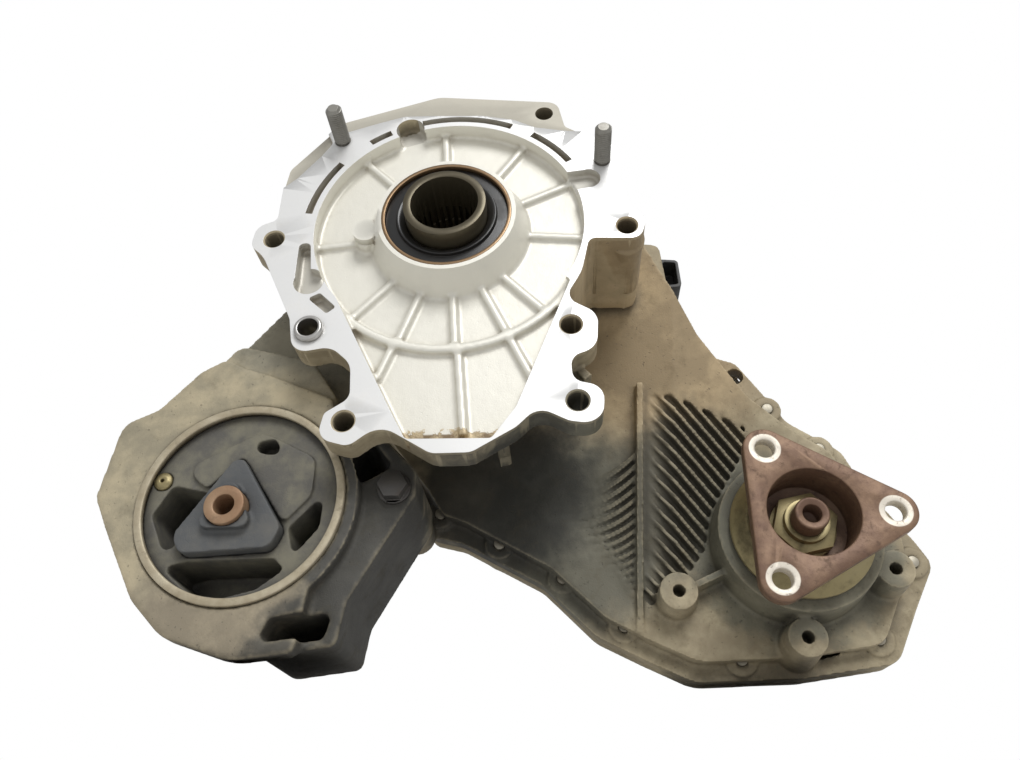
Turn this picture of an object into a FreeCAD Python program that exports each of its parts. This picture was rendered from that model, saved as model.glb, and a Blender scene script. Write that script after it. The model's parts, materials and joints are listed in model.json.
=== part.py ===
import FreeCAD, Part

import math
import os

# Two-speed transfer case with a planetary reduction, a planetary centre differential, a chain
# drive to the front output and a side bracket with a rubber bush.
# Frame: origin at the middle of the input bore on the gearbox mounting face. +Y runs along the
# main shaft to the rear, +Z is up and +X is towards the front output. Lengths in millimetres.

Vector = FreeCAD.Vector
Rotation = FreeCAD.Rotation
Placement = FreeCAD.Placement

SIZES = {
    # gearbox mounting flange
    "flange_depth": 20.0, "recess_depth": 12.0, "recess_radius": 94.5, "flange_hole": 13.5,
    "stud_diameter": 12.0, "stud_proud": 30.0, "dowel_outer": 19.0, "dowel_bore": 13.5,
    "rib_width": 5.0, "rib_rise": 3.6, "boss_foot_radius": 57.0, "boss_top_radius": 48.0,
    "boss_proud": 10.8,
    # bell and chain case
    "bell_front_radius": 88.0, "bell_rear_radius": 100.0, "wall": 7.0,
    "case_front": 75.0, "case_base": 127.0, "joint_plane": 152.0, "joint_flange": 12.0,
    "rear_cover_depth": 36.0,
    "case_bolt": 8.0, "case_bolt_head": 6.5, "valley_depth": 10.0,
    "fin_depth": 7.0, "fin_thick": 2.6, "left_fin_thick": 4.0, "keel_width": 4.6, "skirt_depth": 84.0,
    "pillar_radius": 12.5, "pillar_front": 104.0, "pillar_thread": 8.0, "pillar_thread_depth": 17.3,
    "rim_step": 2.5, "slot_depth": 9.0, "face_slot_width": 5.2,
    # front output position, from the main shaft
    "output_x": 230.9, "output_z": -194.1,
    # main shaft
    "input_radius": 28.2, "input_proud": 21.5, "input_bore": 46.0, "input_seat_radius": 30.0,
    "bearing_width": 18.0, "input_bearing_outer": 90.0,
    "running_gap": 0.05, "loose_gap": 0.3,
    # reduction gear set
    "reduction_module": 2.5, "gear_front": 31.0, "gear_width": 22.0, "planet_pin": 10.0,
    # range clutch
    "spline_tip": 26.0, "spline_depth": 2.0, "dog_width": 4.0, "shift_travel": 8.0,
    "dog_front": 56.5, "sleeve_outer": 33.0, "rail_radius": 4.0, "rail_offset": 70.5,
    # centre differential
    "differential_module": 2.0, "differential_front": 84.0, "differential_radius": 62.0,
    "differential_wall": 5.0, "differential_gear_width": 18.0, "cross_pin": 8.0,
    # chain drive
    "chain_front": 136.0, "chain_width": 32.0, "rear_shaft_radius": 16.0,
    # rear output
    "rear_bearing_outer": 72.0, "rear_flange_radius": 48.0, "rear_flange_depth": 10.0,
    "rear_bolt_circle": 76.0, "rear_bolt_hole": 10.5,
    # front output
    "output_flange_front": 61.0, "output_flange_depth": 9.0, "output_bolt_circle": 100.2,
    "output_bolt_hole": 13.0, "output_lobe_radius": 14.0, "output_cup_radius": 29.0,
    "output_cup_wall": 5.0, "output_seat": 94.0, "output_shaft_radius": 17.5,
    "output_thread": 22.0, "output_hub_radius": 24.0, "output_bearing_outer": 80.0,
    "nut_flats": 38.0, "nut_depth": 10.0, "deflector_radius": 47.0, "output_boss_radius": 54.0,
    # side bracket and bush
    "bracket_front": 35.0, "bracket_plate": 14.0, "bush_x": -128.8, "bush_z": -189.0,
    "bush_radius": 66.6, "bush_wall": 3.6, "bush_length": 62.0, "barrel_wall": 8.0,
    "core_front": 24.0, "core_hole": 13.0, "core_sleeve_outer": 25.0,
}

document = FreeCAD.newDocument("transfer_case")
sheet = document.addObject("Spreadsheet::Sheet", "Sizes")


class Size(float):
    """A length that remembers the spreadsheet formula it comes from."""

    def __new__(cls, value, formula):
        made = float.__new__(cls, value)
        made.formula = formula
        return made

    def __add__(self, other):
        return Size(float(self) + float(other), "(" + self.formula + " + " + formula_of(other) + ")")

    def __radd__(self, other):
        return Size(float(other) + float(self), "(" + formula_of(other) + " + " + self.formula + ")")

    def __sub__(self, other):
        return Size(float(self) - float(other), "(" + self.formula + " - " + formula_of(other) + ")")

    def __rsub__(self, other):
        return Size(float(other) - float(self), "(" + formula_of(other) + " - " + self.formula + ")")

    def __mul__(self, other):
        return Size(float(self) * float(other), self.formula + " * " + formula_of(other))

    def __rmul__(self, other):
        return Size(float(other) * float(self), formula_of(other) + " * " + self.formula)

    def __truediv__(self, other):
        return Size(float(self) / float(other), self.formula + " / " + formula_of(other))

    def __neg__(self):
        return Size(-float(self), "(0 - " + self.formula + ")")


def formula_of(value):
    """The formula of a Size, or the plain number."""
    if isinstance(value, Size):
        return value.formula
    return "(" + repr(float(value)) + ")"


class Sheet:
    """Every driving dimension by name, each tied to its cell."""

    def __init__(self, sizes):
        for row, name in enumerate(sizes, start=1):
            sheet.set("A%d" % row, name)
            sheet.set("B%d" % row, str(sizes[name]))
            sheet.setAlias("B%d" % row, name)
            setattr(self, name, Size(sizes[name], "Sizes." + name))


D = Sheet(SIZES)
document.recompute()

# ---------------------------------------------------------------- building blocks

ALONG_Y = Rotation(Vector(1, 0, 0), -90)
FACING_FRONT = Rotation(Vector(1, 0, 0), 90)
MAIN = (0.0, 0.0)
OUTPUT = (D.output_x, D.output_z)
BUSH = (D.bush_x, D.bush_z)


def put(item, x, y, z, rotation=None):
    """Place an object, tying each coordinate that has a formula to the sheet."""
    item.Placement = Placement(Vector(float(x), float(y), float(z)), rotation or Rotation())
    for letter, value in (("x", x), ("y", y), ("z", z)):
        if isinstance(value, Size):
            item.setExpression("Placement.Base." + letter, value.formula)
    return item


def bind(item, name, value):
    """Set a property, tied to the sheet where the value has a formula."""
    setattr(item, name, float(value))
    if isinstance(value, Size):
        item.setExpression(name, value.formula)


def rod(name, radius, front, back, centre=MAIN):
    """A cylinder along Y."""
    item = document.addObject("Part::Cylinder", name)
    bind(item, "Radius", radius)
    bind(item, "Height", back - front)
    return put(item, centre[0], front, centre[1], ALONG_Y)


def cone(name, front_radius, back_radius, front, back, centre=MAIN):
    """A truncated cone along Y."""
    item = document.addObject("Part::Cone", name)
    bind(item, "Radius1", front_radius)
    bind(item, "Radius2", back_radius)
    bind(item, "Height", back - front)
    return put(item, centre[0], front, centre[1], ALONG_Y)


def corner_edges(points):
    """Line segments and tangent arcs of a closed outline of (x, z, corner radius) points."""
    starts = []
    ends = []
    arcs = []
    count = len(points)
    for index, (x, z, radius) in enumerate(points):
        here = Vector(x, z, 0)
        before = Vector(points[index - 1][0], points[index - 1][1], 0)
        after = Vector(points[(index + 1) % count][0], points[(index + 1) % count][1], 0)
        back = (before - here).normalize()
        ahead = (after - here).normalize()
        if radius <= 0:
            starts.append(here)
            ends.append(here)
            arcs.append(None)
            continue
        half = back.getAngle(ahead) / 2
        reach = radius / math.tan(half)
        first = here + back * reach
        last = here + ahead * reach
        toward = (back + ahead).normalize()
        middle = here + toward * (radius / math.sin(half) - radius)
        starts.append(first)
        ends.append(last)
        arcs.append(Part.Arc(first, middle, last))
    edges = []
    for index in range(count):
        if arcs[index]:
            edges.append(arcs[index])
        following = starts[(index + 1) % count]
        if ends[index].distanceToPoint(following) > 1e-6:
            edges.append(Part.LineSegment(ends[index], following))
    return edges


def outline_sketch(name, points, y, holes=(), centre=MAIN):
    """A sketch across the shafts, at depth y, with round holes of (x, z, radius)."""
    sketch = document.addObject("Sketcher::SketchObject", name)
    sketch.addGeometry(corner_edges(points))
    for x, z, radius in holes:
        sketch.addGeometry(Part.Circle(Vector(x, z, 0), Vector(0, 0, 1), radius))
    return put(sketch, centre[0], y, centre[1], FACING_FRONT)


def prism(name, points, front, back, holes=(), centre=MAIN):
    """An outline of (x, z, corner radius) points, carried along Y from front to back."""
    item = document.addObject("Part::Extrusion", name)
    item.Base = outline_sketch(name + "_outline", points, front, holes, centre)
    item.DirMode = "Custom"
    item.Dir = Vector(0, 1, 0)
    item.Solid = True
    bind(item, "LengthFwd", back - front)
    return item


def turned(name, profile, centre=MAIN):
    """A piece turned about a shaft line from (radius, y) points."""
    sketch = document.addObject("Sketcher::SketchObject", name + "_profile")
    count = len(profile)
    for index in range(count):
        start = profile[index]
        end = profile[(index + 1) % count]
        sketch.addGeometry(Part.LineSegment(Vector(*start, 0), Vector(*end, 0)))
    put(sketch, centre[0], 0, centre[1])
    item = document.addObject("Part::Revolution", name)
    item.Source = sketch
    item.Axis = Vector(0, 1, 0)
    item.Base = Vector(float(centre[0]), 0, float(centre[1]))
    for letter, value in (("x", centre[0]), ("z", centre[1])):
        if isinstance(value, Size):
            item.setExpression("Base." + letter, value.formula)
    item.Angle = 360
    item.Solid = True
    return item


def tube(name, inner, outer, front, back, centre=MAIN):
    """A plain ring along Y."""
    profile = [(inner, front), (outer, front), (outer, back), (inner, back)]
    return turned(name, [(float(r), float(y)) for r, y in profile], centre)


def fused(name, parts):
    """One solid made of several."""
    item = document.addObject("Part::MultiFuse", name)
    item.Shapes = parts
    item.Refine = True
    return item


def together(name, parts):
    """Several separate solids kept as one sub-part."""
    item = document.addObject("Part::Compound", name)
    item.Links = parts
    return item


def cut(name, base, tools):
    """A base with tools taken away."""
    item = document.addObject("Part::Cut", name)
    item.Base = base
    item.Tool = tools[0] if len(tools) == 1 else fused(name + "_tools", tools)
    item.Refine = True
    return item


def shared(name, first, second):
    """What two solids have in common."""
    item = document.addObject("Part::Common", name)
    item.Base = first
    item.Tool = second
    return item


def on_circle(radius, degrees, centre=(0.0, 0.0)):
    """A point at an angle from +X towards +Z."""
    angle = math.radians(degrees)
    return (centre[0] + radius * math.cos(angle), centre[1] + radius * math.sin(angle))


def half_space(name, on_plane, outward, reach=700.0):
    """A large box whose near face lies on a plane and that extends outward."""
    item = document.addObject("Part::Box", name)
    item.Length = reach
    item.Width = reach
    item.Height = reach
    turn = Rotation(Vector(0, 0, 1), outward)
    corner = on_plane - turn.multVec(Vector(reach / 2, reach / 2, 0))
    item.Placement = Placement(corner, turn)
    return item


def plane_box(name, origin, along, normal, length, width, depth):
    """A bar lying on a plane: from origin along a direction, centred on its width."""
    across = normal.cross(along).normalize()
    matrix = FreeCAD.Matrix(along.x, across.x, normal.x, origin.x,
                            along.y, across.y, normal.y, origin.y,
                            along.z, across.z, normal.z, origin.z)
    item = document.addObject("Part::Box", name)
    bind(item, "Length", length)
    bind(item, "Width", width)
    bind(item, "Height", depth)
    place = Placement(matrix)
    place.Base = origin - across * (float(width) / 2)
    item.Placement = place
    return item


def hexagon(flats, turn=0.0):
    """Corner points of a hexagon with a given width across flats."""
    corners = []
    for index in range(6):
        x, z = on_circle(float(flats) / math.sqrt(3), turn + 60 * index)
        corners.append((x, z, 0))
    return corners


FINISHED = {}


def finish(name, item):
    """Name a finished sub-part after its node."""
    item.Label = name
    FINISHED[name] = item
    return item


# ---------------------------------------------------------------- outlines of the castings

FLANGE_OUTLINE = [
    (-136, 4, 11), (-122, 9, 6), (-122, 40, 20), (-120, 59, 10), (-84, 106, 7), (-12, 129, 22),
    (79, 117, 10), (84, 91, 6), (123, 64, 13), (121, 38, 30), (127, 8, 10), (137, -3, 8),
    (132, -20, 9), (97, -18, 6), (91, -46, 40), (79, -67, 9), (100, -80, 13), (98, -106, 13),
    (81, -112, 9), (82, -129, 8), (101, -134, 11), (99, -160, 12), (79, -157, 14), (60, -147, 12),
    (47, -160, 20), (20, -176, 12), (-4, -176, 12), (-36, -156, 16), (-54, -170, 9), (-74, -164, 10),
    (-71, -147, 5), (-56, -137, 9), (-58, -112, 16), (-72, -99, 14), (-97, -103, 11), (-102, -76, 12),
    (-128, -22, 30), (-138, -14, 10),
]
SKIRT_OUTLINE = [
    (52, -52, 0), (79, -67, 9), (91, -46, 40), (97, -18, 6), (132, -20, 9), (137, -3, 8), (127, 8, 10),
    (121, 38, 30), (123, 64, 13), (84, 91, 6), (40, 60, 0),
]
CAST_RIM_ZONES = [
    [(-86, 91, 3), (-57, 101, 6), (-37, 107, 6), (-10, 106, 20), (22, 104, 30), (46, 98, 14), (62, 89, 8),
     (84, 84, 8), (100, 82, 2), (100, 135, 2), (-12, 150, 2), (-100, 130, 2)],
    [(-128, 34, 4), (-113, 48, 8), (-97, 70, 10), (-90, 82, 4), (-100, 104, 2), (-150, 80, 2),
     (-150, 34, 2)],
]
LOWER_RECESS = [(-78, -50, 3), (-30, -147, 6), (-20, -166, 4), (32, -167, 4), (47, -146, 6), (84, -50, 3)]
CASE_OUTLINE = [
    (-97, 5, 60), (-84, 78, 40), (-20, 104, 60), (70, 102, 30), (118, 84, 24), (150, 47, 16),
    (190, -28, 8), (216, -38, 11), (232, -64, 10), (248, -92, 12), (284, -118, 14), (296, -148, 20),
    (322, -190, 22), (330, -206, 12), (312, -236, 22), (292, -272, 16), (228, -281, 40), (158, -283, 30),
    (126, -268, 26), (94, -252, 26), (58, -216, 20), (0, -184, 14), (-24, -178, 10), (-34, -150, 16),
    (-70, -100, 40), (-98, -62, 40),
]
SHELL_OUTLINE = [
    (-88, 2, 50), (-76, 72, 36), (-18, 95, 50), (66, 93, 30), (110, 76, 24), (141, 43, 14),
    (180, -38, 8), (214, -82, 14), (270, -122, 26), (310, -190, 24), (300, -226, 22), (281, -262, 16),
    (226, -270, 36), (160, -272, 30), (130, -258, 26), (100, -242, 26), (64, -207, 20), (2, -172, 14),
    (-14, -166, 10), (-26, -146, 16), (-62, -98, 40), (-88, -60, 40),
]
BRACKET_OUTLINE = [
    (-155, -83, 10), (-142, -91, 8), (-124, -97, 30), (-78, -117, 8), (-62, -175, 20), (-58, -192, 14),
    (-78, -236, 16), (-83, -282, 6), (-120, -286, 40), (-163, -272, 30), (-186, -250, 30),
    (-212, -206, 20), (-224, -184, 10), (-218, -132, 14), (-196, -122, 16), (-172, -93, 16),
]
RAIL_OUTLINE = [
    (-88, -112, 6), (-64, -120, 10), (-20, -166, 8), (-20, -182, 8), (-58, -250, 6), (-62, -276, 6),
    (-110, -282, 10), (-120, -262, 10), (-92, -236, 20), (-54, -190, 30), (-70, -150, 20),
]
ARM_OUTLINE = [
    (-172, -96, 12), (-161, -62, 12), (-128, -18, 12), (-92, 6, 8), (-70, -20, 8), (-60, -100, 8),
    (-82, -128, 12), (-120, -116, 20),
]
CORE_OUTLINE = [(-132, -157, 6), (-166, -212, 7), (-160, -224, 8), (-104, -221, 8), (-99, -208, 7)]
FLANGE_BOLT_HOLES = [(-122.2, -8.0), (123.3, -8.4), (82.2, -87.9), (84.4, -143.2), (-58.6, -152.8)]
STUD_PLACES = [(-82.7, 84.3), (109.7, 52.9)]
TOP_RIGHT_HOLE = (68.9, 105.8)
DOWEL_PLACE = (-87.8, -85.5)
CASE_BOLT_PLACES = [
    (-17, -162), (27, -186), (72, -212), (113, -246), (189, -269), (281, -257), (315, -205),
    (267, -117), (234, -82), (170, 2), (128, 62), (60, 92), (-20, 92), (-80, 50), (-82, -60),
]
LOBE_HOLE = (214, -50)
PILLAR_PLACES = [(148, -231), (226, -262), (290, -219)]
BRACKET_BOLT_PLACES = [(-106, -22), (-34, -178)]

OUTPUT_ANGLES = (118.6, -1.4, -121.4)
ARC_SLOTS = ((143, 172), (117, 127), (64, 103), (32, 54))
FIN_FIELD = [(132.8, -84, 0), (155, -86, 0), (210, -106, 2), (212, -118, 4), (190, -152, 8), (178, -172, 8),
             (172, -196, 6), (160, -212, 4), (143, -228, 2), (129, -236, 0), (123.6, -236, 0)]
RIGHT_FIN_RUN = Vector(0.62, 0.315, -0.72).normalize()
RIGHT_FIN_PITCH = 7.4
LEFT_FIN_SHARES = (0.285, 0.87)
LEFT_FIN_COUNT = 15
RIB_ANGLES = (94, 56, 25, -6, -47, -65, -86, -109, -132, -174, 133)
LOWER_RIBS = ((-65, 133), (-85, 161), (-110, 126))

main_depth = D.joint_plane - D.joint_flange


# ---------------------------------------------------------------- front housing

# Two sloping planes meet in the keel, the ridge between the two fields of cooling fins.
KEEL_TOP = Vector(133, 92, -80)
KEEL_FOOT = Vector(123, 126, -246)
FIELD_CORNER = Vector(210, 117, -105)
VALLEY_POINT = Vector(20, 126, -172)


def roof_normal(third):
    """Outward normal of the plane through the keel and a third point."""
    normal = (KEEL_FOOT - KEEL_TOP).cross(third - KEEL_TOP).normalize()
    return normal if normal.y < 0 else normal * -1


right_normal = roof_normal(FIELD_CORNER)
left_normal = roof_normal(VALLEY_POINT)
right_fin_run = (RIGHT_FIN_RUN - right_normal * RIGHT_FIN_RUN.dot(right_normal)).normalize()


def roofed(name, outline, front, back, sunk_right, sunk_left, floor=None):
    """A block of the chain case under the two sloping planes, sunk below them but never below the floor."""
    body = prism(name + "_block", outline, front, back)
    right = half_space(name + "_right", KEEL_TOP - right_normal * float(sunk_right), right_normal)
    left = half_space(name + "_left", KEEL_TOP - left_normal * float(sunk_left), left_normal)
    if floor is None:
        return cut(name, body, [right, left])
    above = prism(name + "_above", [(-150, -330, 0), (380, -330, 0), (380, 180, 0), (-150, 180, 0)],
                  front - 5, floor)
    return cut(name, body, [shared(name + "_slope", fused(name + "_sides", [right, left]), above)])


def radial_rib(name, degrees, inner, outer, width, front, back):
    """A straight rib on the recess floor, from one radius to another."""
    item = document.addObject("Part::Box", name)
    bind(item, "Length", outer - inner)
    bind(item, "Width", back - front)
    bind(item, "Height", width)
    turn = Rotation(Vector(0, 1, 0), -degrees)
    corner = turn.multVec(Vector(float(inner), 0, -float(width) / 2))
    item.Placement = Placement(corner + Vector(0, float(front), 0), turn)
    item.setExpression("Placement.Base.y", front.formula)
    return item


def flange_plate():
    """The gearbox flange with its recess, ribs and seal boss, before the holes."""
    plate = prism("flange_blank", FLANGE_OUTLINE, 0, D.flange_depth)
    round_recess = rod("recess_round", D.recess_radius, -1, D.recess_depth)
    low_recess = prism("recess_low", LOWER_RECESS, -1, D.recess_depth)
    floor = D.recess_depth
    rib_front = floor - D.rib_rise
    ribs = []
    for index, degrees in enumerate(RIB_ANGLES):
        ribs.append(radial_rib("rib_%d" % index, degrees, D.boss_top_radius, D.recess_radius + 1,
                               D.rib_width, rib_front, floor + 1))
    for index, (degrees, outer) in enumerate(LOWER_RIBS):
        ribs.append(radial_rib("rib_low_%d" % index, degrees, D.recess_radius + 4, outer,
                               D.rib_width, rib_front, floor + 1))
    arc = tube("recess_arc", D.recess_radius + 0.5, D.recess_radius + 6.5, floor - 5, floor + 1)
    arc_low = shared("recess_arc_low", arc, prism("recess_arc_window", LOWER_RECESS, 0,
                                                  floor + 2))
    boss = cone("seal_boss", D.boss_top_radius, D.boss_foot_radius, -D.boss_proud, floor + 1)
    bump = rod("boss_bump", 9.5, -D.boss_proud + 8, floor + 1, (-57, -5))
    hollowed = cut("flange_hollowed", plate, [round_recess, low_recess])
    return fused("flange_plate", [hollowed, boss, bump, arc_low] + ribs)


def front_shell():
    """The bell, the chain case and their bosses outside, before they are hollowed."""
    bell = cone("bell", D.bell_front_radius, D.bell_rear_radius, D.flange_depth - 4, main_depth)
    skirt = prism("skirt", SKIRT_OUTLINE, D.flange_depth - 1, D.skirt_depth)
    shell = roofed("case_roof", SHELL_OUTLINE, D.case_front, main_depth + 1, 0, D.valley_depth,
                   D.case_base)
    rim = prism("case_rim", CASE_OUTLINE, main_depth, D.joint_plane)
    boss = cone("output_boss", D.output_boss_radius, D.output_boss_radius + 3,
                D.output_seat + 3, main_depth + 1, OUTPUT)
    parts = [bell, skirt, shell, rim, boss]
    for index, (x, z) in enumerate(PILLAR_PLACES):
        parts.append(cone("pillar_%d" % index, D.pillar_radius, D.pillar_radius + 3,
                          D.pillar_front, main_depth + 1, (x, z)))
        spoke = Vector(float(D.output_x) - x, 0, float(D.output_z) - z)
        parts.append(plane_box("pillar_web_%d" % index, Vector(x, float(D.pillar_front) + 6, z),
                               Vector(spoke).normalize(), Vector(0, 1, 0), spoke.Length - 40,
                               D.keel_width, main_depth - D.pillar_front))
    for index, (x, z) in enumerate(CASE_BOLT_PLACES):
        parts.append(rod("bolt_pad_%d" % index, 11, main_depth - 3,
                         D.joint_plane, (x, z)))
    for index, (x, z) in enumerate(FLANGE_BOLT_HOLES + STUD_PLACES + [TOP_RIGHT_HOLE, DOWEL_PLACE]):
        parts.append(cone("ear_back_%d" % index, 13.5, 11.5,
                          D.flange_depth - 5, D.flange_depth + 7, (x, z)))
    for index, ((x, z), front) in enumerate(zip(BRACKET_BOLT_PLACES, (104, 122))):
        parts.append(rod("bracket_lug_%d" % index, 14, front, main_depth + 1,
                         (x, z)))
    gussets = ((36, -150, 8, 64), (-40, -132, 8, 60), (92, -118, 6, 70), (60, -118, 8, 60))
    for index, (x, z, width, deep) in enumerate(gussets):
        toward = Vector(-x, 0, -z).normalize()
        parts.append(plane_box("gusset_%d" % index, Vector(x, float(D.flange_depth) - 4, z), toward,
                               Vector(0, 1, 0), 90, width, deep))
    return parts


def keel_bar():
    """The ridge that both fields of fins start from."""
    run = KEEL_FOOT - KEEL_TOP
    lift = (right_normal + left_normal).normalize()
    return plane_box("keel", KEEL_TOP - lift * 16, Vector(run).normalize(), lift, run.Length + 6,
                     D.keel_width, 17)


def right_fin_slots():
    """Slots between the straight fins, to the right of the keel."""
    along = Vector(KEEL_FOOT - KEEL_TOP).normalize()
    slots = []
    step = RIGHT_FIN_PITCH / math.sin(right_fin_run.getAngle(along))
    width = RIGHT_FIN_PITCH - D.fin_thick
    for index in range(-11, 15):
        start = KEEL_TOP + along * (step * (index + 0.5)) - right_normal * float(D.fin_depth)
        slots.append(plane_box("slot_%d" % (index + 11), start, right_fin_run, right_normal, 150, width,
                               D.fin_depth + 12))
    field = prism("fin_field", FIN_FIELD, D.case_front, D.case_base + 5)
    return shared("right_slots", fused("slot_rows", slots), field)


def keel_at(share):
    """A point of the keel, from its top to its foot."""
    return KEEL_TOP + (KEEL_FOOT - KEEL_TOP) * share


def concave_side(name, sunk, dip, grow):
    """The hollow side left of the keel, sunk below the keel and curved down to the valley floor."""
    sketches = []
    floor = float(D.case_base)
    first, last = LEFT_FIN_SHARES
    for label, share in (("top", first - 0.06 - 0.01 * grow), ("foot", last + 0.04 + 0.01 * grow)):
        crest = keel_at(share)
        crest_y = min(crest.y + sunk, floor - 0.4)
        reach = left_fin_reach(share) + grow
        start = Vector(crest.x + 0.3 * grow, crest_y, 0)
        end = Vector(crest.x - reach, floor, 0)
        middle = Vector(crest.x - 0.4 * reach, floor - dip * (floor - crest_y), 0)
        sketch = document.addObject("Sketcher::SketchObject", name + "_" + label)
        under = floor + 6 - grow
        sketch.addGeometry([
            Part.Arc(start, middle, end), Part.LineSegment(end, Vector(end.x, under, 0)),
            Part.LineSegment(Vector(end.x, under, 0), Vector(start.x, under, 0)),
            Part.LineSegment(Vector(start.x, under, 0), start)])
        put(sketch, 0, 0, crest.z)
        sketches.append(sketch)
    item = document.addObject("Part::Loft", name)
    item.Sections = sketches
    item.Solid = True
    item.Ruled = True
    return item


def left_fin_reach(share):
    """How far a left fin runs from the keel, shorter towards the foot."""
    spread = (share - LEFT_FIN_SHARES[0]) / (LEFT_FIN_SHARES[1] - LEFT_FIN_SHARES[0])
    return 100 - 84 * max(spread, 0) ** 1.3


def left_fins():
    """Curved fins that sweep from the keel down into the valley on its left."""
    fins = []
    first, last = LEFT_FIN_SHARES
    for index in range(LEFT_FIN_COUNT):
        spread = index / (LEFT_FIN_COUNT - 1)
        share = first + (last - first) * (1.2 * spread - 0.2 * spread ** 2)
        crest = keel_at(share)
        reach = left_fin_reach(share)
        end_z = crest.z - 18 * (1 - spread) ** 1.2 + 2 * spread
        thick = float(D.left_fin_thick) * (1 - 0.35 * spread)
        start = Vector(crest.x, crest.z, 0)
        end = Vector(crest.x - reach, end_z, 0)
        middle = (start + end) * 0.5 - Vector(0, 0.13 * reach, 0)
        down = Vector(0, -thick, 0)
        sketch = document.addObject("Sketcher::SketchObject", "left_fin_line_%d" % index)
        sketch.addGeometry([
            Part.Arc(start, middle, end), Part.LineSegment(end, end + down * 0.6),
            Part.Arc(end + down * 0.6, middle + down, start + down), Part.LineSegment(start + down, start)])
        put(sketch, 0, D.case_front, 0, FACING_FRONT)
        item = document.addObject("Part::Extrusion", "left_fin_%d" % index)
        item.Base = sketch
        item.DirMode = "Custom"
        item.Dir = Vector(0, 1, 0)
        item.Solid = True
        bind(item, "LengthFwd", D.case_base - D.case_front + 3)
        fins.append(item)
    rows = fused("left_fin_rows", fins)
    return shared("left_fins", rows, concave_side("fin_tips", 0.5, 0.33, 1.5))


def arc_slot(name, inner, from_degrees, to_degrees, depth):
    """A curved slot with square ends in the flange face, concentric with the input."""
    outer = inner + D.face_slot_width
    corners = []
    for radius, first, last in ((inner, from_degrees, to_degrees), (outer, to_degrees, from_degrees)):
        corners.append((on_circle(float(radius), first), on_circle(float(radius), (first + last) / 2),
                        on_circle(float(radius), last)))
    sketch = document.addObject("Sketcher::SketchObject", name + "_outline")
    (a, b, c), (d, e, f) = corners
    sketch.addGeometry([
        Part.Arc(Vector(*a, 0), Vector(*b, 0), Vector(*c, 0)),
        Part.LineSegment(Vector(*c, 0), Vector(*d, 0)),
        Part.Arc(Vector(*d, 0), Vector(*e, 0), Vector(*f, 0)),
        Part.LineSegment(Vector(*f, 0), Vector(*a, 0))])
    put(sketch, 0, -1, 0, FACING_FRONT)
    item = document.addObject("Part::Extrusion", name)
    item.Base = sketch
    item.DirMode = "Custom"
    item.Dir = Vector(0, 1, 0)
    item.Solid = True
    bind(item, "LengthFwd", depth + 1)
    return item


def face_slots():
    """Oil slots, notches and the as-cast rim that lie below the machined flange face."""
    tools = []
    inner = D.recess_radius + 4.2
    for index, (first, last) in enumerate(ARC_SLOTS):
        tools.append(arc_slot("arc_slot_%d" % index, inner, first, last, D.slot_depth))
    tools.append(rod("top_notch", 10.6, -1, D.recess_depth, (-32, 93)))
    tools.append(rod("right_notch", 8.6, -1, D.recess_depth - 5, (99, 36)))
    tools.append(prism("right_notch_mouth", [(80, 24, 0), (99, 27.6, 0), (99, 44.4, 0), (78, 42, 0)], -1,
                       D.recess_depth - 5))
    tools.append(rod("left_notch", 10.5, -1, D.slot_depth, (-93, -46)))
    tools.append(prism("left_slot", [(-103, -42, 1), (-103.5, -13, 3.8), (-95.5, -13, 3.8),
                                     (-92, -42, 1)], -1, D.slot_depth))
    tools.append(prism("short_slot", [(-92, -60, 2), (-78, -73, 2), (-72, -68, 2), (-84, -56, 2)], -1,
                       D.slot_depth - 2))
    for index, zone in enumerate(CAST_RIM_ZONES):
        tools.append(prism("cast_rim_%d" % index, zone, -1, D.rim_step))
    return tools


def chain_room(name, radius, front, back):
    """The space that the chain and its sprockets run in."""
    run = Vector(float(D.output_x), float(D.output_z), 0).normalize()
    side = Vector(-run.y, run.x, 0)
    far = Vector(float(D.output_x), float(D.output_z), 0)
    points = []
    for place in (-1, 1):
        start = run * -radius if place < 0 else far + run * radius
        points.append(start + side * radius * -place)
        points.append(start + side * radius * place)
    corners = [(p.x, p.y, radius * 0.999) for p in (points[0], points[1], points[2], points[3])]
    return prism(name, corners, front, back)


CHAIN_ROOM_RADIUS = 75.0


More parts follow.
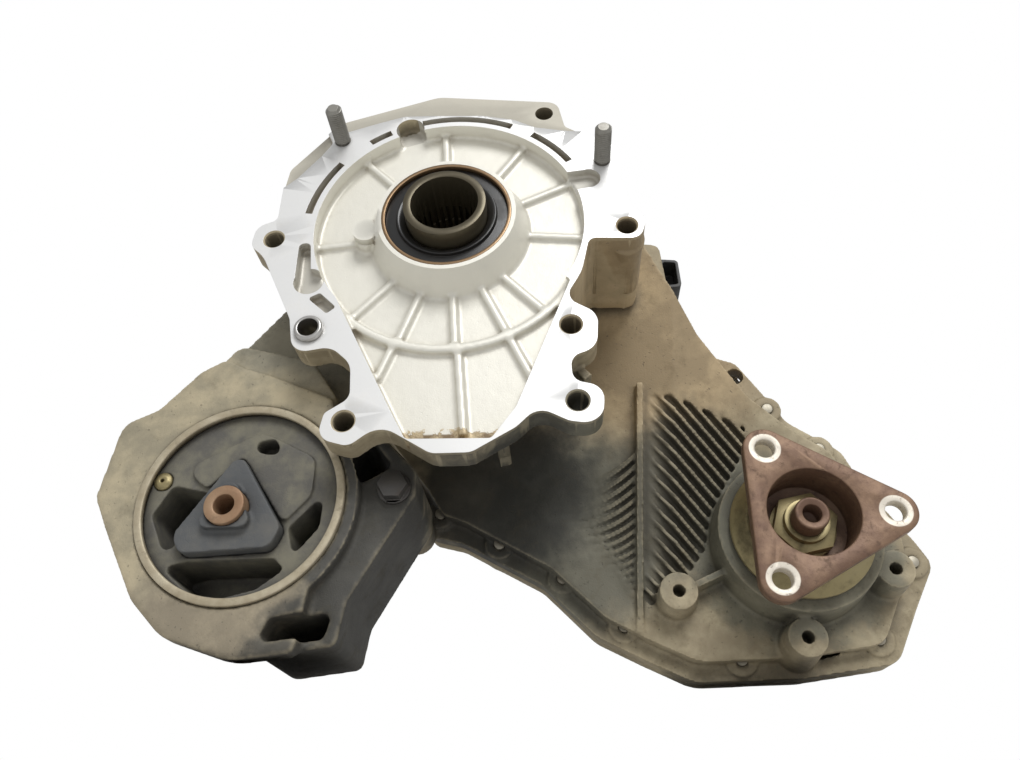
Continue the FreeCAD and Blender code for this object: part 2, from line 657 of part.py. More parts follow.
def front_housing():
    """The main casting: gearbox flange, bell, chain case and output boss."""
    flange = cut("flange_faced", flange_plate(), face_slots())
    slotted = cut("shell_slotted", fused("shell_outside", front_shell()), [right_fin_slots()])
    hollow_side = concave_side("valley_side", 8.0, 0.12, 0)
    finned = fused("front_finned", [slotted, flange, hollow_side, left_fins(), keel_bar()])
    seal_radius = D.input_bearing_outer / 2
    ring_radius = reduction_ring_outer()
    joint = D.joint_plane
    tools = [
        rod("seal_bore", seal_radius, -D.boss_proud - 1, D.flange_depth + 3),
        rod("ring_seat", ring_radius, D.flange_depth + 2.5, D.gear_front + D.gear_width + 3),
        rod("clutch_room", 79, D.gear_front + D.gear_width + 3, D.differential_front + 26),
        rod("differential_room", D.differential_radius + 2.5, D.differential_front + 25, joint),
        chain_room("front_chain_room", CHAIN_ROOM_RADIUS, D.chain_front - 2.5, joint + 1),
        roofed("front_inside", INSIDE_OUTLINE, D.case_front + 20, joint + 1, D.wall + D.fin_depth,
               D.wall + D.valley_depth),
        rod("output_bearing_bore", D.output_bearing_outer / 2, D.output_seat + 2, D.chain_front - 2,
            OUTPUT),
        rod("rail_bore", D.rail_radius + D.running_gap, D.differential_front, D.chain_front + 1,
            RAIL_PLACE),
        rod("dowel_bore", D.dowel_outer / 2, -1, 13, DOWEL_PLACE),
        rod("dowel_through", D.dowel_bore / 2, 0, 60, DOWEL_PLACE),
        rod("lobe_hole", D.flange_hole / 2, main_depth - 5, joint + 1, LOBE_HOLE),
    ]
    for index, (x, z) in enumerate(FLANGE_BOLT_HOLES + [TOP_RIGHT_HOLE]):
        tools.append(rod("flange_hole_%d" % index, D.flange_hole / 2, -1,
                         60, (x, z)))
        tools.append(cone("flange_chamfer_%d" % index, D.flange_hole / 2 + 2, D.flange_hole / 2 - 1,
                          -1, 2, (x, z)))
    for index, (x, z) in enumerate(STUD_PLACES):
        tools.append(rod("stud_hole_%d" % index, D.stud_diameter / 2, -1,
                         24, (x, z)))
    for index, (x, z) in enumerate(CASE_BOLT_PLACES):
        tools.append(rod("case_hole_%d" % index, D.case_bolt / 2, main_depth - 6, joint + 1, (x, z)))
    for index, (x, z) in enumerate(BRACKET_BOLT_PLACES):
        tools.append(rod("lug_hole_%d" % index, 6, 100, 135, (x, z)))
    for index, (x, z) in enumerate(PILLAR_PLACES):
        tools.append(rod("pillar_hole_%d" % index, D.pillar_thread / 2, D.pillar_front - 1,
                         D.pillar_front + D.pillar_thread_depth, (x, z)))
    return finish("front_housing", cut("front_housing", finned, tools))


# ---------------------------------------------------------------- shared gear outlines

SUN_TEETH = 24
PLANET_TEETH = 12
RING_TEETH = 48
PLANET_ANGLES = (0, 90, 180, 270)
BACKLASH = 0.6


def reduction_ring_outer():
    """Outer radius of the reduction ring gear, which seats in the bell."""
    return D.reduction_module * (RING_TEETH / 2) + 13


def gear_points(teeth, module, phase=0.0, internal=False):
    """Tooth outline: straight flanks between the root and tip circles, thinned by the backlash."""
    pitch = float(module) * teeth / 2
    tip = pitch + (1.2 if internal else 0.9) * float(module)
    root = pitch - (0.9 if internal else 1.2) * float(module)
    play = BACKLASH if internal else -BACKLASH
    middle = (math.pi * float(module) / 2 + play) / 2 / pitch
    slope = math.tan(math.radians(20)) / pitch
    wide = middle + slope * (pitch - root)
    narrow = middle - slope * (tip - pitch)
    points = []
    for index in range(teeth):
        centre = math.radians(phase) + 2 * math.pi * index / teeth
        for radius, offset in ((root, -wide), (tip, -narrow), (tip, narrow), (root, wide)):
            angle = centre + offset
            points.append((radius * math.cos(angle), radius * math.sin(angle), 0))
    return points


def spline_points(tip, root, teeth=24, share=0.5, phase=0.0):
    """Square-sided spline outline."""
    points = []
    for index in range(teeth):
        centre = math.radians(phase) + 2 * math.pi * index / teeth
        half = math.pi / teeth * share
        for radius, offset in ((root, -half), (tip, -half), (tip, half), (root, half)):
            angle = centre + offset
            points.append((radius * math.cos(angle), radius * math.sin(angle), 0))
    return points


# ---------------------------------------------------------------- bearings and seals

def bearing(prefix, bore, outer, front, back, centre, balls=10):
    """An inner ring, an outer ring and the balls between them."""
    race = (outer - bore) * 0.3
    inner_top = bore + race
    outer_low = outer - race
    finish(prefix + "_inner_ring", tube(prefix + "_inner_ring", bore, inner_top, front, back, centre))
    finish(prefix + "_outer_ring", tube(prefix + "_outer_ring", outer_low, outer, front, back, centre))
    ball = (outer_low - inner_top) / 2 - D.running_gap
    spheres = []
    for index in range(balls):
        x, z = on_circle(float(inner_top + outer_low) / 2, 360 * index / balls, centre)
        item = document.addObject("Part::Sphere", prefix + "_ball_%d" % index)
        bind(item, "Radius", ball)
        spheres.append(put(item, x, (front + back) / 2, z))
    finish(prefix + "_balls", together(prefix + "_balls", spheres))


def seal(name, inner, outer, front, back, centre):
    """A lip seal: an L-shaped case with a lip that stops just short of the shaft."""
    lip = inner + D.loose_gap
    step = 2.5
    profile = [(outer - step, front), (outer, front), (outer, back), (lip + 3, back), (lip, back - 3),
               (lip + 1.5, front + 3), (outer - step, front + 3)]
    return finish(name, turned(name, [(float(r), float(y)) for r, y in profile], centre))


# ---------------------------------------------------------------- input and reduction

input_bearing_front = 4.0
input_bearing_back = input_bearing_front + D.bearing_width
carrier_front = D.gear_front - 6
carrier_back = D.gear_front + D.gear_width + 2
spline_root = D.spline_tip - D.spline_depth
RAIL_ANGLE = 30
RAIL_PLACE = on_circle(float(D.rail_offset), RAIL_ANGLE)
INSIDE_OUTLINE = [
    (-76, 0, 46), (-66, 64, 30), (-16, 84, 46), (62, 83, 26), (102, 68, 20), (131, 38, 12),
    (170, -42, 8), (204, -92, 14), (258, -128, 24), (296, -190, 22), (288, -222, 20), (272, -250, 14),
    (224, -258, 34), (162, -260, 28), (134, -246, 26), (106, -231, 26), (70, -196, 20), (6, -160, 14),
    (-8, -152, 10), (-18, -138, 14), (-52, -92, 40), (-76, -54, 36),
]


def input_shaft():
    """Hollow splined input with the sun gear and the high-range dog cut on it."""
    bore = D.input_bore / 2
    shaft = turned("input_stem", [
        (0, 40), (float(bore) - 1, 40), (float(bore) - 1, float(D.input_proud)),
        (float(bore), float(D.input_proud)), (float(bore), -float(D.input_proud)),
        (float(D.input_radius), -float(D.input_proud)), (float(D.input_radius), 3.5),
        (float(D.input_seat_radius), 3.5), (float(D.input_seat_radius), float(input_bearing_back)),
        (26.6, float(carrier_front) - 1), (26.6, float(carrier_back) - 1.5),
        (22, float(carrier_back) - 1.5), (22, float(D.dog_front) + 12.2), (12, float(D.dog_front) + 12.2),
        (12, 80), (0, 80)])
    sun = prism("sun_teeth", gear_points(SUN_TEETH, D.reduction_module), D.gear_front,
                D.gear_front + D.gear_width)
    dog = prism("high_dog", spline_points(float(D.spline_tip), float(spline_root)),
                D.dog_front + D.shift_travel, D.dog_front + D.shift_travel + D.dog_width)
    solid = fused("input_solid", [shaft, sun, dog])
    inner = prism("input_inner_spline", spline_points(float(bore) + 1.6, float(bore) - 1.2, 30),
                  8, 38)
    return finish("input_shaft", cut("input_shaft", solid, [inner]))


def input_seal():
    """The large seal in the boss: a steel case and a rubber lip."""
    outer = float(D.input_bearing_outer) / 2 - 0.02
    front = -float(D.boss_proud)
    case = [(outer - 2.6, front), (outer, front), (outer, front + 11), (34.5, front + 11),
            (34.5, front + 9.4), (outer - 1.6, front + 9.4), (outer - 2.6, front + 2)]
    finish("input_seal_case", turned("input_seal_case", case))
    lip = float(D.input_radius) + float(D.loose_gap)
    rubber = [(outer - 2.7, front + 3), (outer - 2.7, front + 9.2), (34, front + 9.2), (34, front + 7),
              (lip, front + 7.6), (lip, front + 4.4), (33, front + 1.2), (34.5, front + 1.2),
              (35, front + 4)]
    finish("input_seal_lip", turned("input_seal_lip", rubber))


def reduction_set():
    """Fixed ring gear, carrier, four planets and their pins."""
    back = D.gear_front + D.gear_width
    orbit = float(D.reduction_module) * (SUN_TEETH + PLANET_TEETH) / 2
    ring_outer = reduction_ring_outer() - D.running_gap
    blank = rod("ring_blank", ring_outer, D.gear_front, back)
    teeth = prism("ring_space", gear_points(RING_TEETH, D.reduction_module, 3.75, internal=True),
                  D.gear_front - 1, back + 1)
    finish("reduction_ring_gear", cut("reduction_ring_gear", blank, [teeth]))
    pin = D.planet_pin / 2
    plate_outer = orbit + 11
    front_plate = tube("carrier_front_plate", 33, plate_outer, carrier_front, carrier_front + 5)
    rear_plate = tube("carrier_rear_plate", D.sleeve_outer + 2, plate_outer, carrier_back - 1,
                      carrier_back + 3)
    low_dog = prism("low_dog", spline_points(float(D.spline_tip), float(spline_root)),
                    D.dog_front - 1, D.dog_front + D.dog_width)
    low_web = tube("low_dog_web", 22.6, D.sleeve_outer + 4, carrier_back - 1.2, D.dog_front - 0.3)
    low_bore = rod("low_dog_bore", 22.5, D.dog_front - 2, D.dog_front + D.dog_width + 1)
    low = cut("low_dog_ring", fused("low_dog_solid", [low_dog, low_web]), [low_bore])
    bridges = []
    for index, degrees in enumerate(PLANET_ANGLES):
        place = on_circle(orbit + 2, degrees + 45)
        bridges.append(rod("carrier_bridge_%d" % index, 6, carrier_front + 4, carrier_back,
                           place))
    holes = []
    pins = []
    for index, degrees in enumerate(PLANET_ANGLES):
        place = on_circle(orbit, degrees)
        holes.append(rod("carrier_hole_%d" % index, pin, carrier_front - 1, carrier_back + 4, place))
        pins.append(rod("planet_pin_%d" % index, pin, carrier_front, carrier_back + 3, place))
        planet = prism("planet_teeth_%d" % (index + 1), gear_points(PLANET_TEETH, D.reduction_module, 15),
                       D.gear_front + 0.5, back - 0.5, holes=[(0, 0, float(pin + D.running_gap))])
        planet.Base.Placement = Placement(Vector(place[0], float(D.gear_front) + 0.5, place[1]),
                                          Rotation(Vector(0, 1, 0), -degrees) * FACING_FRONT)
        finish("reduction_planet_%d" % (index + 1), planet)
    cage = fused("carrier_cage", [front_plate, rear_plate, low] + bridges)
    finish("reduction_carrier", cut("reduction_carrier", cage, holes))
    finish("reduction_planet_pins", together("reduction_planet_pins", pins))


def range_clutch():
    """Sliding sleeve, its fork and the rail that carries the fork."""
    gap = 0.2
    travel = D.shift_travel
    front = D.dog_front + travel
    sleeve_back = front + 19
    blank = rod("sleeve_blank", D.sleeve_outer, front, sleeve_back)
    teeth = prism("sleeve_space", spline_points(float(D.spline_tip) + gap, float(spline_root) + gap,
                                                share=0.54), front - 1, sleeve_back + 1)
    relief = rod("sleeve_relief", D.spline_tip + gap, front + D.dog_width + 0.2, front + 12.4)
    groove = tube("sleeve_groove", D.sleeve_outer - 3, D.sleeve_outer + 1, front + 6, front + 11.4)
    finish("shift_sleeve", cut("shift_sleeve", blank, [teeth, relief, groove]))
    shoe_front = front + 6.3
    shoe_back = front + 11.1
    shoe = tube("fork_shoe", D.sleeve_outer - 2.7, D.sleeve_outer + 5, shoe_front, shoe_back)
    mouth = document.addObject("Part::Box", "fork_mouth")
    mouth.Length = 60
    mouth.Width = 20
    mouth.Height = 100
    turn = Rotation(Vector(0, 1, 0), 180 - RAIL_ANGLE)
    mouth.Placement = Placement(turn.multVec(Vector(4, 0, -50)) + Vector(0, float(shoe_front) - 5, 0), turn)
    yoke = cut("fork_yoke", shoe, [mouth])
    arm = document.addObject("Part::Box", "fork_arm")
    bind(arm, "Length", D.rail_offset - D.sleeve_outer - 4)
    bind(arm, "Width", shoe_back - shoe_front)
    arm.Height = 14
    turn = Rotation(Vector(0, 1, 0), -RAIL_ANGLE)
    arm.Placement = Placement(turn.multVec(Vector(float(D.sleeve_outer) + 2, 0, -7))
                              + Vector(0, float(shoe_front), 0), turn)
    hub = rod("fork_hub", D.rail_radius + 3.5, front + 4, front + 15, RAIL_PLACE)
    bore = rod("fork_bore", D.rail_radius, front, front + 18, RAIL_PLACE)
    solid = fused("fork_solid", [yoke, arm, hub])
    finish("shift_fork", cut("shift_fork", solid, [bore]))
    finish("shift_rail", rod("shift_rail", D.rail_radius, front + 2, D.chain_front - 5 - 0.5, RAIL_PLACE))


# ---------------------------------------------------------------- differential, chain, outputs

differential_back = D.differential_front + 36 + D.differential_wall
gears_front = D.differential_front + 14
gears_back = gears_front + D.differential_gear_width
chain_back = D.chain_front + D.chain_width
LINKS_PER_RUN = 63
SPROCKET_TEETH = 40


def differential():
    """Drum driven by the range clutch, with four planets between the ring gear and the sun."""
    wall = D.differential_wall
    radius = D.differential_radius
    front = D.differential_front
    cover_front = differential_back - wall
    gap = D.running_gap
    nose_front = D.dog_front + 12.5
    hub = prism("differential_hub", spline_points(float(D.spline_tip), float(spline_root)),
                nose_front, front + 1)
    drum = turned("differential_drum", [(float(r), float(y)) for r, y in (
        (0, front), (radius, front), (radius, cover_front), (radius - 3.5, cover_front),
        (radius - 3.5, front + wall), (0, front + wall))])
    nose = rod("differential_pilot", 12 + gap, nose_front - 1, front + wall + 1)
    finish("differential_case", cut("differential_case", fused("differential_solid", [hub, drum]), [nose]))
    orbit = float(D.differential_module) * (SUN_TEETH + PLANET_TEETH) / 2
    pin = D.cross_pin / 2
    cover = rod("cover_blank", radius, cover_front, differential_back)
    bores = [rod("cover_bore", D.rear_shaft_radius + 4.5, cover_front - 1, differential_back + 1)]
    pins = []
    planets = []
    for index, degrees in enumerate(PLANET_ANGLES):
        place = on_circle(orbit, degrees)
        bores.append(rod("cover_hole_%d" % index, pin, cover_front - 1, differential_back + 1, place))
        pins.append(rod("cross_pin_%d" % index, pin, gears_front, differential_back, place))
        outline = gear_points(PLANET_TEETH, D.differential_module, 15)
        planet = prism("differential_planet_%d" % index, outline, gears_front + 0.5, gears_back - 0.5,
                       holes=[(0, 0, float(pin + gap))])
        planet.Base.Placement = Placement(Vector(place[0], float(gears_front) + 0.5, place[1]),
                                          Rotation(Vector(0, 1, 0), -degrees) * FACING_FRONT)
        planets.append(planet)
    finish("differential_cover", cut("differential_cover", cover, bores))
    finish("differential_pins", together("differential_pins", pins))
    finish("differential_planets", together("differential_planets", planets))
    bell_front = front + wall + 2
    blank = turned("ring_drum", [(float(r), float(y)) for r, y in (
        (D.rear_shaft_radius, bell_front), (radius - 5, bell_front), (radius - 5, gears_back),
        (46, gears_back), (46, bell_front + 5), (D.rear_shaft_radius, bell_front + 5))])
    teeth = prism("ring_teeth_space", gear_points(RING_TEETH, D.differential_module, 3.75, internal=True),
                  bell_front + 5, gears_back + 1)
    finish("differential_ring_gear", cut("differential_ring_gear", blank, [teeth]))


GUIDE_PLATE = 2.2


def chain_path(distance, radius):
    """Point and outward direction on the loop round both sprockets, at a distance along it."""
    far = Vector(float(D.output_x), float(D.output_z), 0)
    span = far.Length
    run = Vector(far).normalize()
    side = Vector(-run.y, run.x, 0)
    half_turn = math.pi * radius
    if distance < span:
        return run * distance + side * radius, side
    distance -= span
    if distance < half_turn:
        angle = distance / radius
        out = side * math.cos(angle) + run * math.sin(angle)
        return far + out * radius, out
    distance -= half_turn
    if distance < span:
        return far - run * distance - side * radius, side * -1
    angle = (distance - span) / radius
    out = side * -math.cos(angle) - run * math.sin(angle)
    return out * radius, out


def chain_pitch():
    """Chain pitch at which whole links fit both straight runs."""
    span = math.hypot(float(D.output_x), float(D.output_z))
    return 2 * span / LINKS_PER_RUN


def sprocket_radius():
    return SPROCKET_TEETH * chain_pitch() / (2 * math.pi)


def sprocket_points(centre_turn):
    """Sprocket tooth outline, with its first tooth at the given angle in degrees."""
    radius = sprocket_radius()
    points = []
    for index in range(SPROCKET_TEETH):
        middle = math.radians(centre_turn) + 2 * math.pi * index / SPROCKET_TEETH
        for reach, share in ((-4.2, -0.3), (2.0, -0.14), (2.0, 0.14), (-4.2, 0.3)):
            angle = middle + share * 2 * math.pi / SPROCKET_TEETH
            points.append(((radius + reach) * math.cos(angle), (radius + reach) * math.sin(angle), 0))
    return points


def link_loop(name, stations, front, back):
    """A closed loop along the chain, through stations of (share of a link, height over the pitch line)."""
    points = []
    for index in range(LINKS_PER_RUN + SPROCKET_TEETH):
        for share, height in stations:
            point, out = chain_path((index + share) * chain_pitch(), sprocket_radius())
            place = point + out * height
            points.append((place.x, place.y, 0))
    return prism(name, points, front, back)


def drive_chain():
    """Chain, one loop of equal links: a back outside the tooth tips and guide plates beside the teeth."""
    front = D.chain_front + GUIDE_PLATE
    back = chain_back - GUIDE_PLATE
    blank = link_loop("chain_blank", ((0.06, 6.2), (0.22, 7.4), (0.78, 7.4), (0.94, 6.2)),
                      D.chain_front, chain_back)
    hollow = link_loop("chain_hollow", ((0.0, -1.2), (0.2, -4.0), (0.5, -3.2), (0.8, -4.0)),
                       D.chain_front - 1, chain_back + 1)
    groove = link_loop("chain_groove", ((0.0, 3.2), (0.25, 2.6), (0.5, 2.6), (0.75, 2.6)), front, back)
    finish("drive_chain", cut("drive_chain", blank, [hollow, groove]))


def sprocket(name, phase, shaft_radius, parts, bore, centre):
    """A sprocket that runs between the chain's guide plates, on a full-width hub."""
    inset = GUIDE_PLATE + 0.4
    hub_radius = shaft_radius + 8
    teeth = prism(name + "_teeth", sprocket_points(phase), D.chain_front + inset, chain_back - inset,
                  centre=centre)
    hub = rod(name + "_hub", hub_radius, D.chain_front, chain_back, centre)
    dish_front = tube(name + "_dish_front", hub_radius, sprocket_radius() - 10, D.chain_front - 1,
                      D.chain_front + 9, centre)
    dish_back = tube(name + "_dish_back", hub_radius, sprocket_radius() - 10, chain_back - 9,
                     chain_back + 1, centre)
    solid = fused(name + "_solid", [teeth, hub] + parts)
    finish(name, cut(name, solid, [bore, dish_front, dish_back]))


def sprockets():
    """Drive sprocket with the differential's sun gear, and the driven sprocket."""
    turn = math.degrees(math.atan2(float(D.output_z), float(D.output_x))) + 90
    neck = rod("sun_neck", D.rear_shaft_radius + 4, gears_front, D.chain_front + 1)
    sun = prism("differential_sun", gear_points(SUN_TEETH, D.differential_module), gears_front, gears_back)
    drive_bore = rod("drive_bore", D.rear_shaft_radius + D.running_gap, gears_front - 1, chain_back + 1)
    sprocket("drive_sprocket", turn, D.rear_shaft_radius, [neck, sun], drive_bore, MAIN)
    driven_bore = rod("driven_bore", D.output_shaft_radius, D.chain_front - 1, chain_back + 1, OUTPUT)
    sprocket("driven_sprocket", turn + 180 / SPROCKET_TEETH, D.output_shaft_radius, [], driven_bore, OUTPUT)


rear_bearing_front = chain_back + 10
rear_bearing_back = rear_bearing_front + D.bearing_width
rear_flange_front = rear_bearing_back + 22
rear_flange_back = rear_flange_front + D.rear_flange_depth


def rear_output():
    """Rear shaft, its flange, nut and seal."""
    shaft = D.rear_shaft_radius
    start = D.differential_front + D.differential_wall + 2
    end = rear_flange_back + D.nut_depth + 6
    thread = shaft - 4
    stem = turned("rear_output_shaft", [(0, float(start)), (float(shaft), float(start)),
                  (float(shaft), float(rear_flange_back) - 4), (float(thread), float(rear_flange_back) - 4),
                  (float(thread), float(end) - 1), (float(thread) - 1, float(end)), (0, float(end))])
    finish("rear_output_shaft", stem)
    hub = 22.0
    holes = [on_circle(float(D.rear_bolt_circle) / 2, 45 + 90 * i) + (float(D.rear_bolt_hole) / 2,)
             for i in range(4)]
    disc = turned("rear_flange_turned", [(float(r), float(y)) for r, y in (
        (shaft, rear_bearing_back + 0.5), (hub, rear_bearing_back + 0.5), (hub, rear_flange_front - 4),
        (30, rear_flange_front), (D.rear_flange_radius, rear_flange_front),
        (D.rear_flange_radius, rear_flange_back), (26, rear_flange_back), (24, rear_flange_back - 4),
        (shaft, rear_flange_back - 4))])
    tools = [rod("rear_flange_hole_%d" % i, D.rear_bolt_hole / 2, rear_flange_front - 1,
                 rear_flange_back + 1, (x, z)) for i, (x, z, r) in enumerate(holes)]
    finish("rear_output_flange", cut("rear_output_flange", disc, tools))
    nut = prism("rear_flange_nut", hexagon(D.nut_flats - 2), rear_flange_back - 4,
                rear_flange_back - 4 + D.nut_depth, holes=[(0, 0, float(thread))])
    finish("rear_flange_nut", nut)
    seal("rear_output_seal", hub, D.rear_bearing_outer / 2, rear_bearing_back + 4,
         rear_bearing_back + 13, MAIN)


front_bearing_front = D.output_seat + 18
front_bearing_back = front_bearing_front + D.bearing_width
tail_bearing_front = chain_back + 4
tail_bearing_back = tail_bearing_front + 14


def front_output():
    """Front output shaft, the three-armed flange, its nut and the dust deflector."""
    shaft = D.output_shaft_radius
    thread = D.output_thread / 2
    seat = D.output_seat
    start = D.output_flange_front + 3.5
    spline = 14.5
    profile = [(6, start + 1), (thread - 1, start), (thread, start + 1), (thread, seat + 2),
               (spline, seat + 2), (spline, front_bearing_front - 1), (shaft, front_bearing_front - 1),
               (shaft, tail_bearing_back), (0, tail_bearing_back), (0, start + 16), (6, start + 14)]
    stem = turned("front_output_shaft", [(float(r), float(y)) for r, y in profile], OUTPUT)
    finish("front_output_shaft", stem)
    reach = float(D.output_bolt_circle) / 2 + 2 * float(D.output_lobe_radius)
    corners = [on_circle(reach, a) + (float(D.output_lobe_radius),) for a in OUTPUT_ANGLES]
    front = D.output_flange_front
    back = front + D.output_flange_depth
    cup = D.output_cup_radius
    cup_outer = cup + D.output_cup_wall
    plate = prism("output_flange_plate", corners, front, back, centre=OUTPUT)
    bowl = turned("output_flange_bowl", [(float(r), float(y)) for r, y in (
        (spline, seat - 3), (cup_outer, seat - 3), (cup_outer, seat + 3), (D.output_hub_radius, seat + 5),
        (D.output_hub_radius, front_bearing_front - 1.2), (spline, front_bearing_front - 1.2))], OUTPUT)
    sleeve = rod("output_flange_sleeve", cup_outer, front, seat + 1, OUTPUT)
    hollow = rod("output_flange_hollow", cup, front - 1, seat - 1, OUTPUT)
    well = rod("output_flange_well", spline, front - 1, front_bearing_front, OUTPUT)
    tools = [hollow, well]
    for index, degrees in enumerate(OUTPUT_ANGLES):
        x, z = on_circle(float(D.output_bolt_circle) / 2, degrees)
        tools.append(rod("output_hole_%d" % index, D.output_bolt_hole / 2, front - 1, back + 1,
                         (D.output_x + x, D.output_z + z)))
    solid = fused("output_flange_solid", [plate, sleeve, bowl])
    finish("output_flange", cut("output_flange", solid, tools))
    nut_front = seat - 1 - D.nut_depth
    nut = prism("nut_body", hexagon(D.nut_flats, 12), nut_front, seat - 3, centre=OUTPUT)
    washer = rod("nut_washer", D.nut_flats / 2 + 2.5, seat - 3.2, seat - 1, OUTPUT)
    collar = rod("nut_collar", thread + 3.5, nut_front - 5, nut_front + 1, OUTPUT)
    nut_bore = rod("nut_bore", thread, nut_front - 6, seat, OUTPUT)
    finish("flange_nut", cut("flange_nut", fused("nut_solid", [nut, washer, collar]), [nut_bore]))
    deflector = D.deflector_radius
    finish("dust_deflector", turned("dust_deflector", [(float(r), float(y)) for r, y in (
        (cup_outer, seat - 12), (cup_outer + 4, seat - 12), (deflector - 3, seat - 5),
        (deflector, seat - 2.5), (deflector, seat), (deflector - 2, seat), (deflector - 4, seat - 3),
        (cup_outer + 3.4, seat - 10), (cup_outer, seat - 10))], OUTPUT))
    seal("front_output_seal", D.output_hub_radius, D.output_bearing_outer / 2, seat + 4, seat + 13, OUTPUT)


# ---------------------------------------------------------------- rear housing

def rear_housing():
    """Rear cover of the chain case with the rear output boss."""
    joint = D.joint_plane
    back = joint + D.rear_cover_depth
    rim = prism("rear_rim", CASE_OUTLINE, joint, joint + D.joint_flange)
    body = prism("rear_body", SHELL_OUTLINE, joint + 4, back - 14)
    boss = cone("rear_boss", 62, 50, back - 16, rear_bearing_back + 14)
    dome = prism("rear_dome", REAR_DOME, back - 16, back)
    tail = cone("tail_boss", 58, 52, back - 16, back + 6, OUTPUT)
    solid = [rim, body, boss, dome, tail]
    for index, (x, z) in enumerate(CASE_BOLT_PLACES):
        solid.append(rod("rear_pad_%d" % index, 11, joint, joint + D.joint_flange + 4, (x, z)))
    for index, degrees in enumerate(range(20, 380, 45)):
        solid.append(radial_rib("rear_rib_%d" % index, degrees, 44, 74,
                                5, back - 4, rear_bearing_back))
    run = math.degrees(math.atan2(float(D.output_z), float(D.output_x)))
    for index, offset in enumerate((-16, -8, 0, 8, 16)):
        solid.append(radial_rib("rear_long_rib_%d" % index, run + offset, 60, 250,
                                5, back - 16, back + 3))
    pad = prism("actuator_pad", ACTUATOR_PAD, joint, joint + 24)
    solid.append(pad)
    tools = [
        chain_room("rear_chain_room", CHAIN_ROOM_RADIUS, joint - 1, chain_back + 3),
        prism("rear_inside", INSIDE_OUTLINE, joint - 1, back - 22),
        rod("rear_bearing_bore", D.rear_bearing_outer / 2, chain_back + 2, rear_bearing_back + 15),
        rod("tail_bearing_bore", D.rear_bearing_outer / 2, chain_back + 2, tail_bearing_back + 0.5, OUTPUT),
        rod("drain_hole", 9, back - 24, back + 1, DRAIN_PLACE),
        rod("fill_hole", 9, back - 24, back + 1, FILL_PLACE),
        rod("rear_lobe_hole", D.flange_hole / 2, joint - 1, joint + D.joint_flange + 1, LOBE_HOLE),
    ]
    for index, (x, z) in enumerate(CASE_BOLT_PLACES):
        tools.append(rod("rear_hole_%d" % index, D.case_bolt / 2, joint - 1,
                         joint + D.joint_flange + 5, (x, z)))
        tools.append(rod("rear_spot_%d" % index, D.case_bolt * 1.3, joint + D.joint_flange + 4,
                         back + 4, (x, z)))
    shell = cut("rear_shell", fused("rear_solid", solid), tools)
    return finish("rear_housing", shell)


REAR_DOME = [
    (-72, 0, 40), (-62, 58, 30), (-14, 76, 40), (58, 76, 26), (96, 60, 20), (160, -36, 12),
    (248, -126, 26), (286, -190, 24), (276, -236, 24), (220, -248, 34), (150, -246, 28),
    (100, -218, 26), (4, -150, 16), (-48, -90, 36),
]
ACTUATOR_PAD = [(104, 60, 6), (112, 104, 8), (168, 96, 8), (172, 44, 8), (140, 34, 6)]
ACTUATOR_BOX = [(106, 64, 8), (114, 102, 12), (166, 95, 12), (170, 46, 12), (142, 36, 8)]
DRAIN_PLACE = (120, -214)
FILL_PLACE = (60, -156)


# ---------------------------------------------------------------- actuator and small fittings

def actuator():
    """Electric range-change unit on the rear cover: gear cover, motor can and connector."""
    front = D.joint_plane + 24
    depth = 34
    cover = prism("actuator_box", ACTUATOR_BOX, front, front + depth)
    cap = rod("actuator_cap", 15, front + 32, front + 38, (140, 70))
    finish("actuator_cover", fused("actuator_cover", [cover, cap]))
    axis = Vector(-0.93, 0, 0.37).normalize()
    base = Vector(106, float(front) + 20, 86)
    can = []
    for name, radius, start, length in (("motor_can", 17, -8, 68), ("motor_boss", 8, 59, 5),
                                        ("motor_flange", 19.5, -8, 16)):
        piece = document.addObject("Part::Cylinder", name)
        piece.Radius = radius
        piece.Height = length
        piece.Placement = Placement(base + axis * start, Rotation(Vector(0, 0, 1), axis))
        can.append(piece)
    seats = [prism("actuator_seat_" + name, ACTUATOR_BOX, front - 30, front + depth)
             for name in ("motor", "connector")]
    finish("actuator_motor", cut("actuator_motor", fused("motor_solid", can), [seats[0]]))
    plug = prism("connector_shell", [(168.2, 52, 3), (167.2, 84, 3), (184, 82, 4), (185, 53, 4)],
                 front - 18, front + 14)
    mouth = prism("connector_mouth", [(171, 55, 2), (170.4, 81, 2), (181.6, 79.6, 2), (182.2, 56, 2)],
                  front - 19, front + 2)
    pad = prism("connector_pad", ACTUATOR_PAD, D.joint_plane, front)
    finish("actuator_connector", cut("actuator_connector", plug, [mouth, pad, seats[1]]))


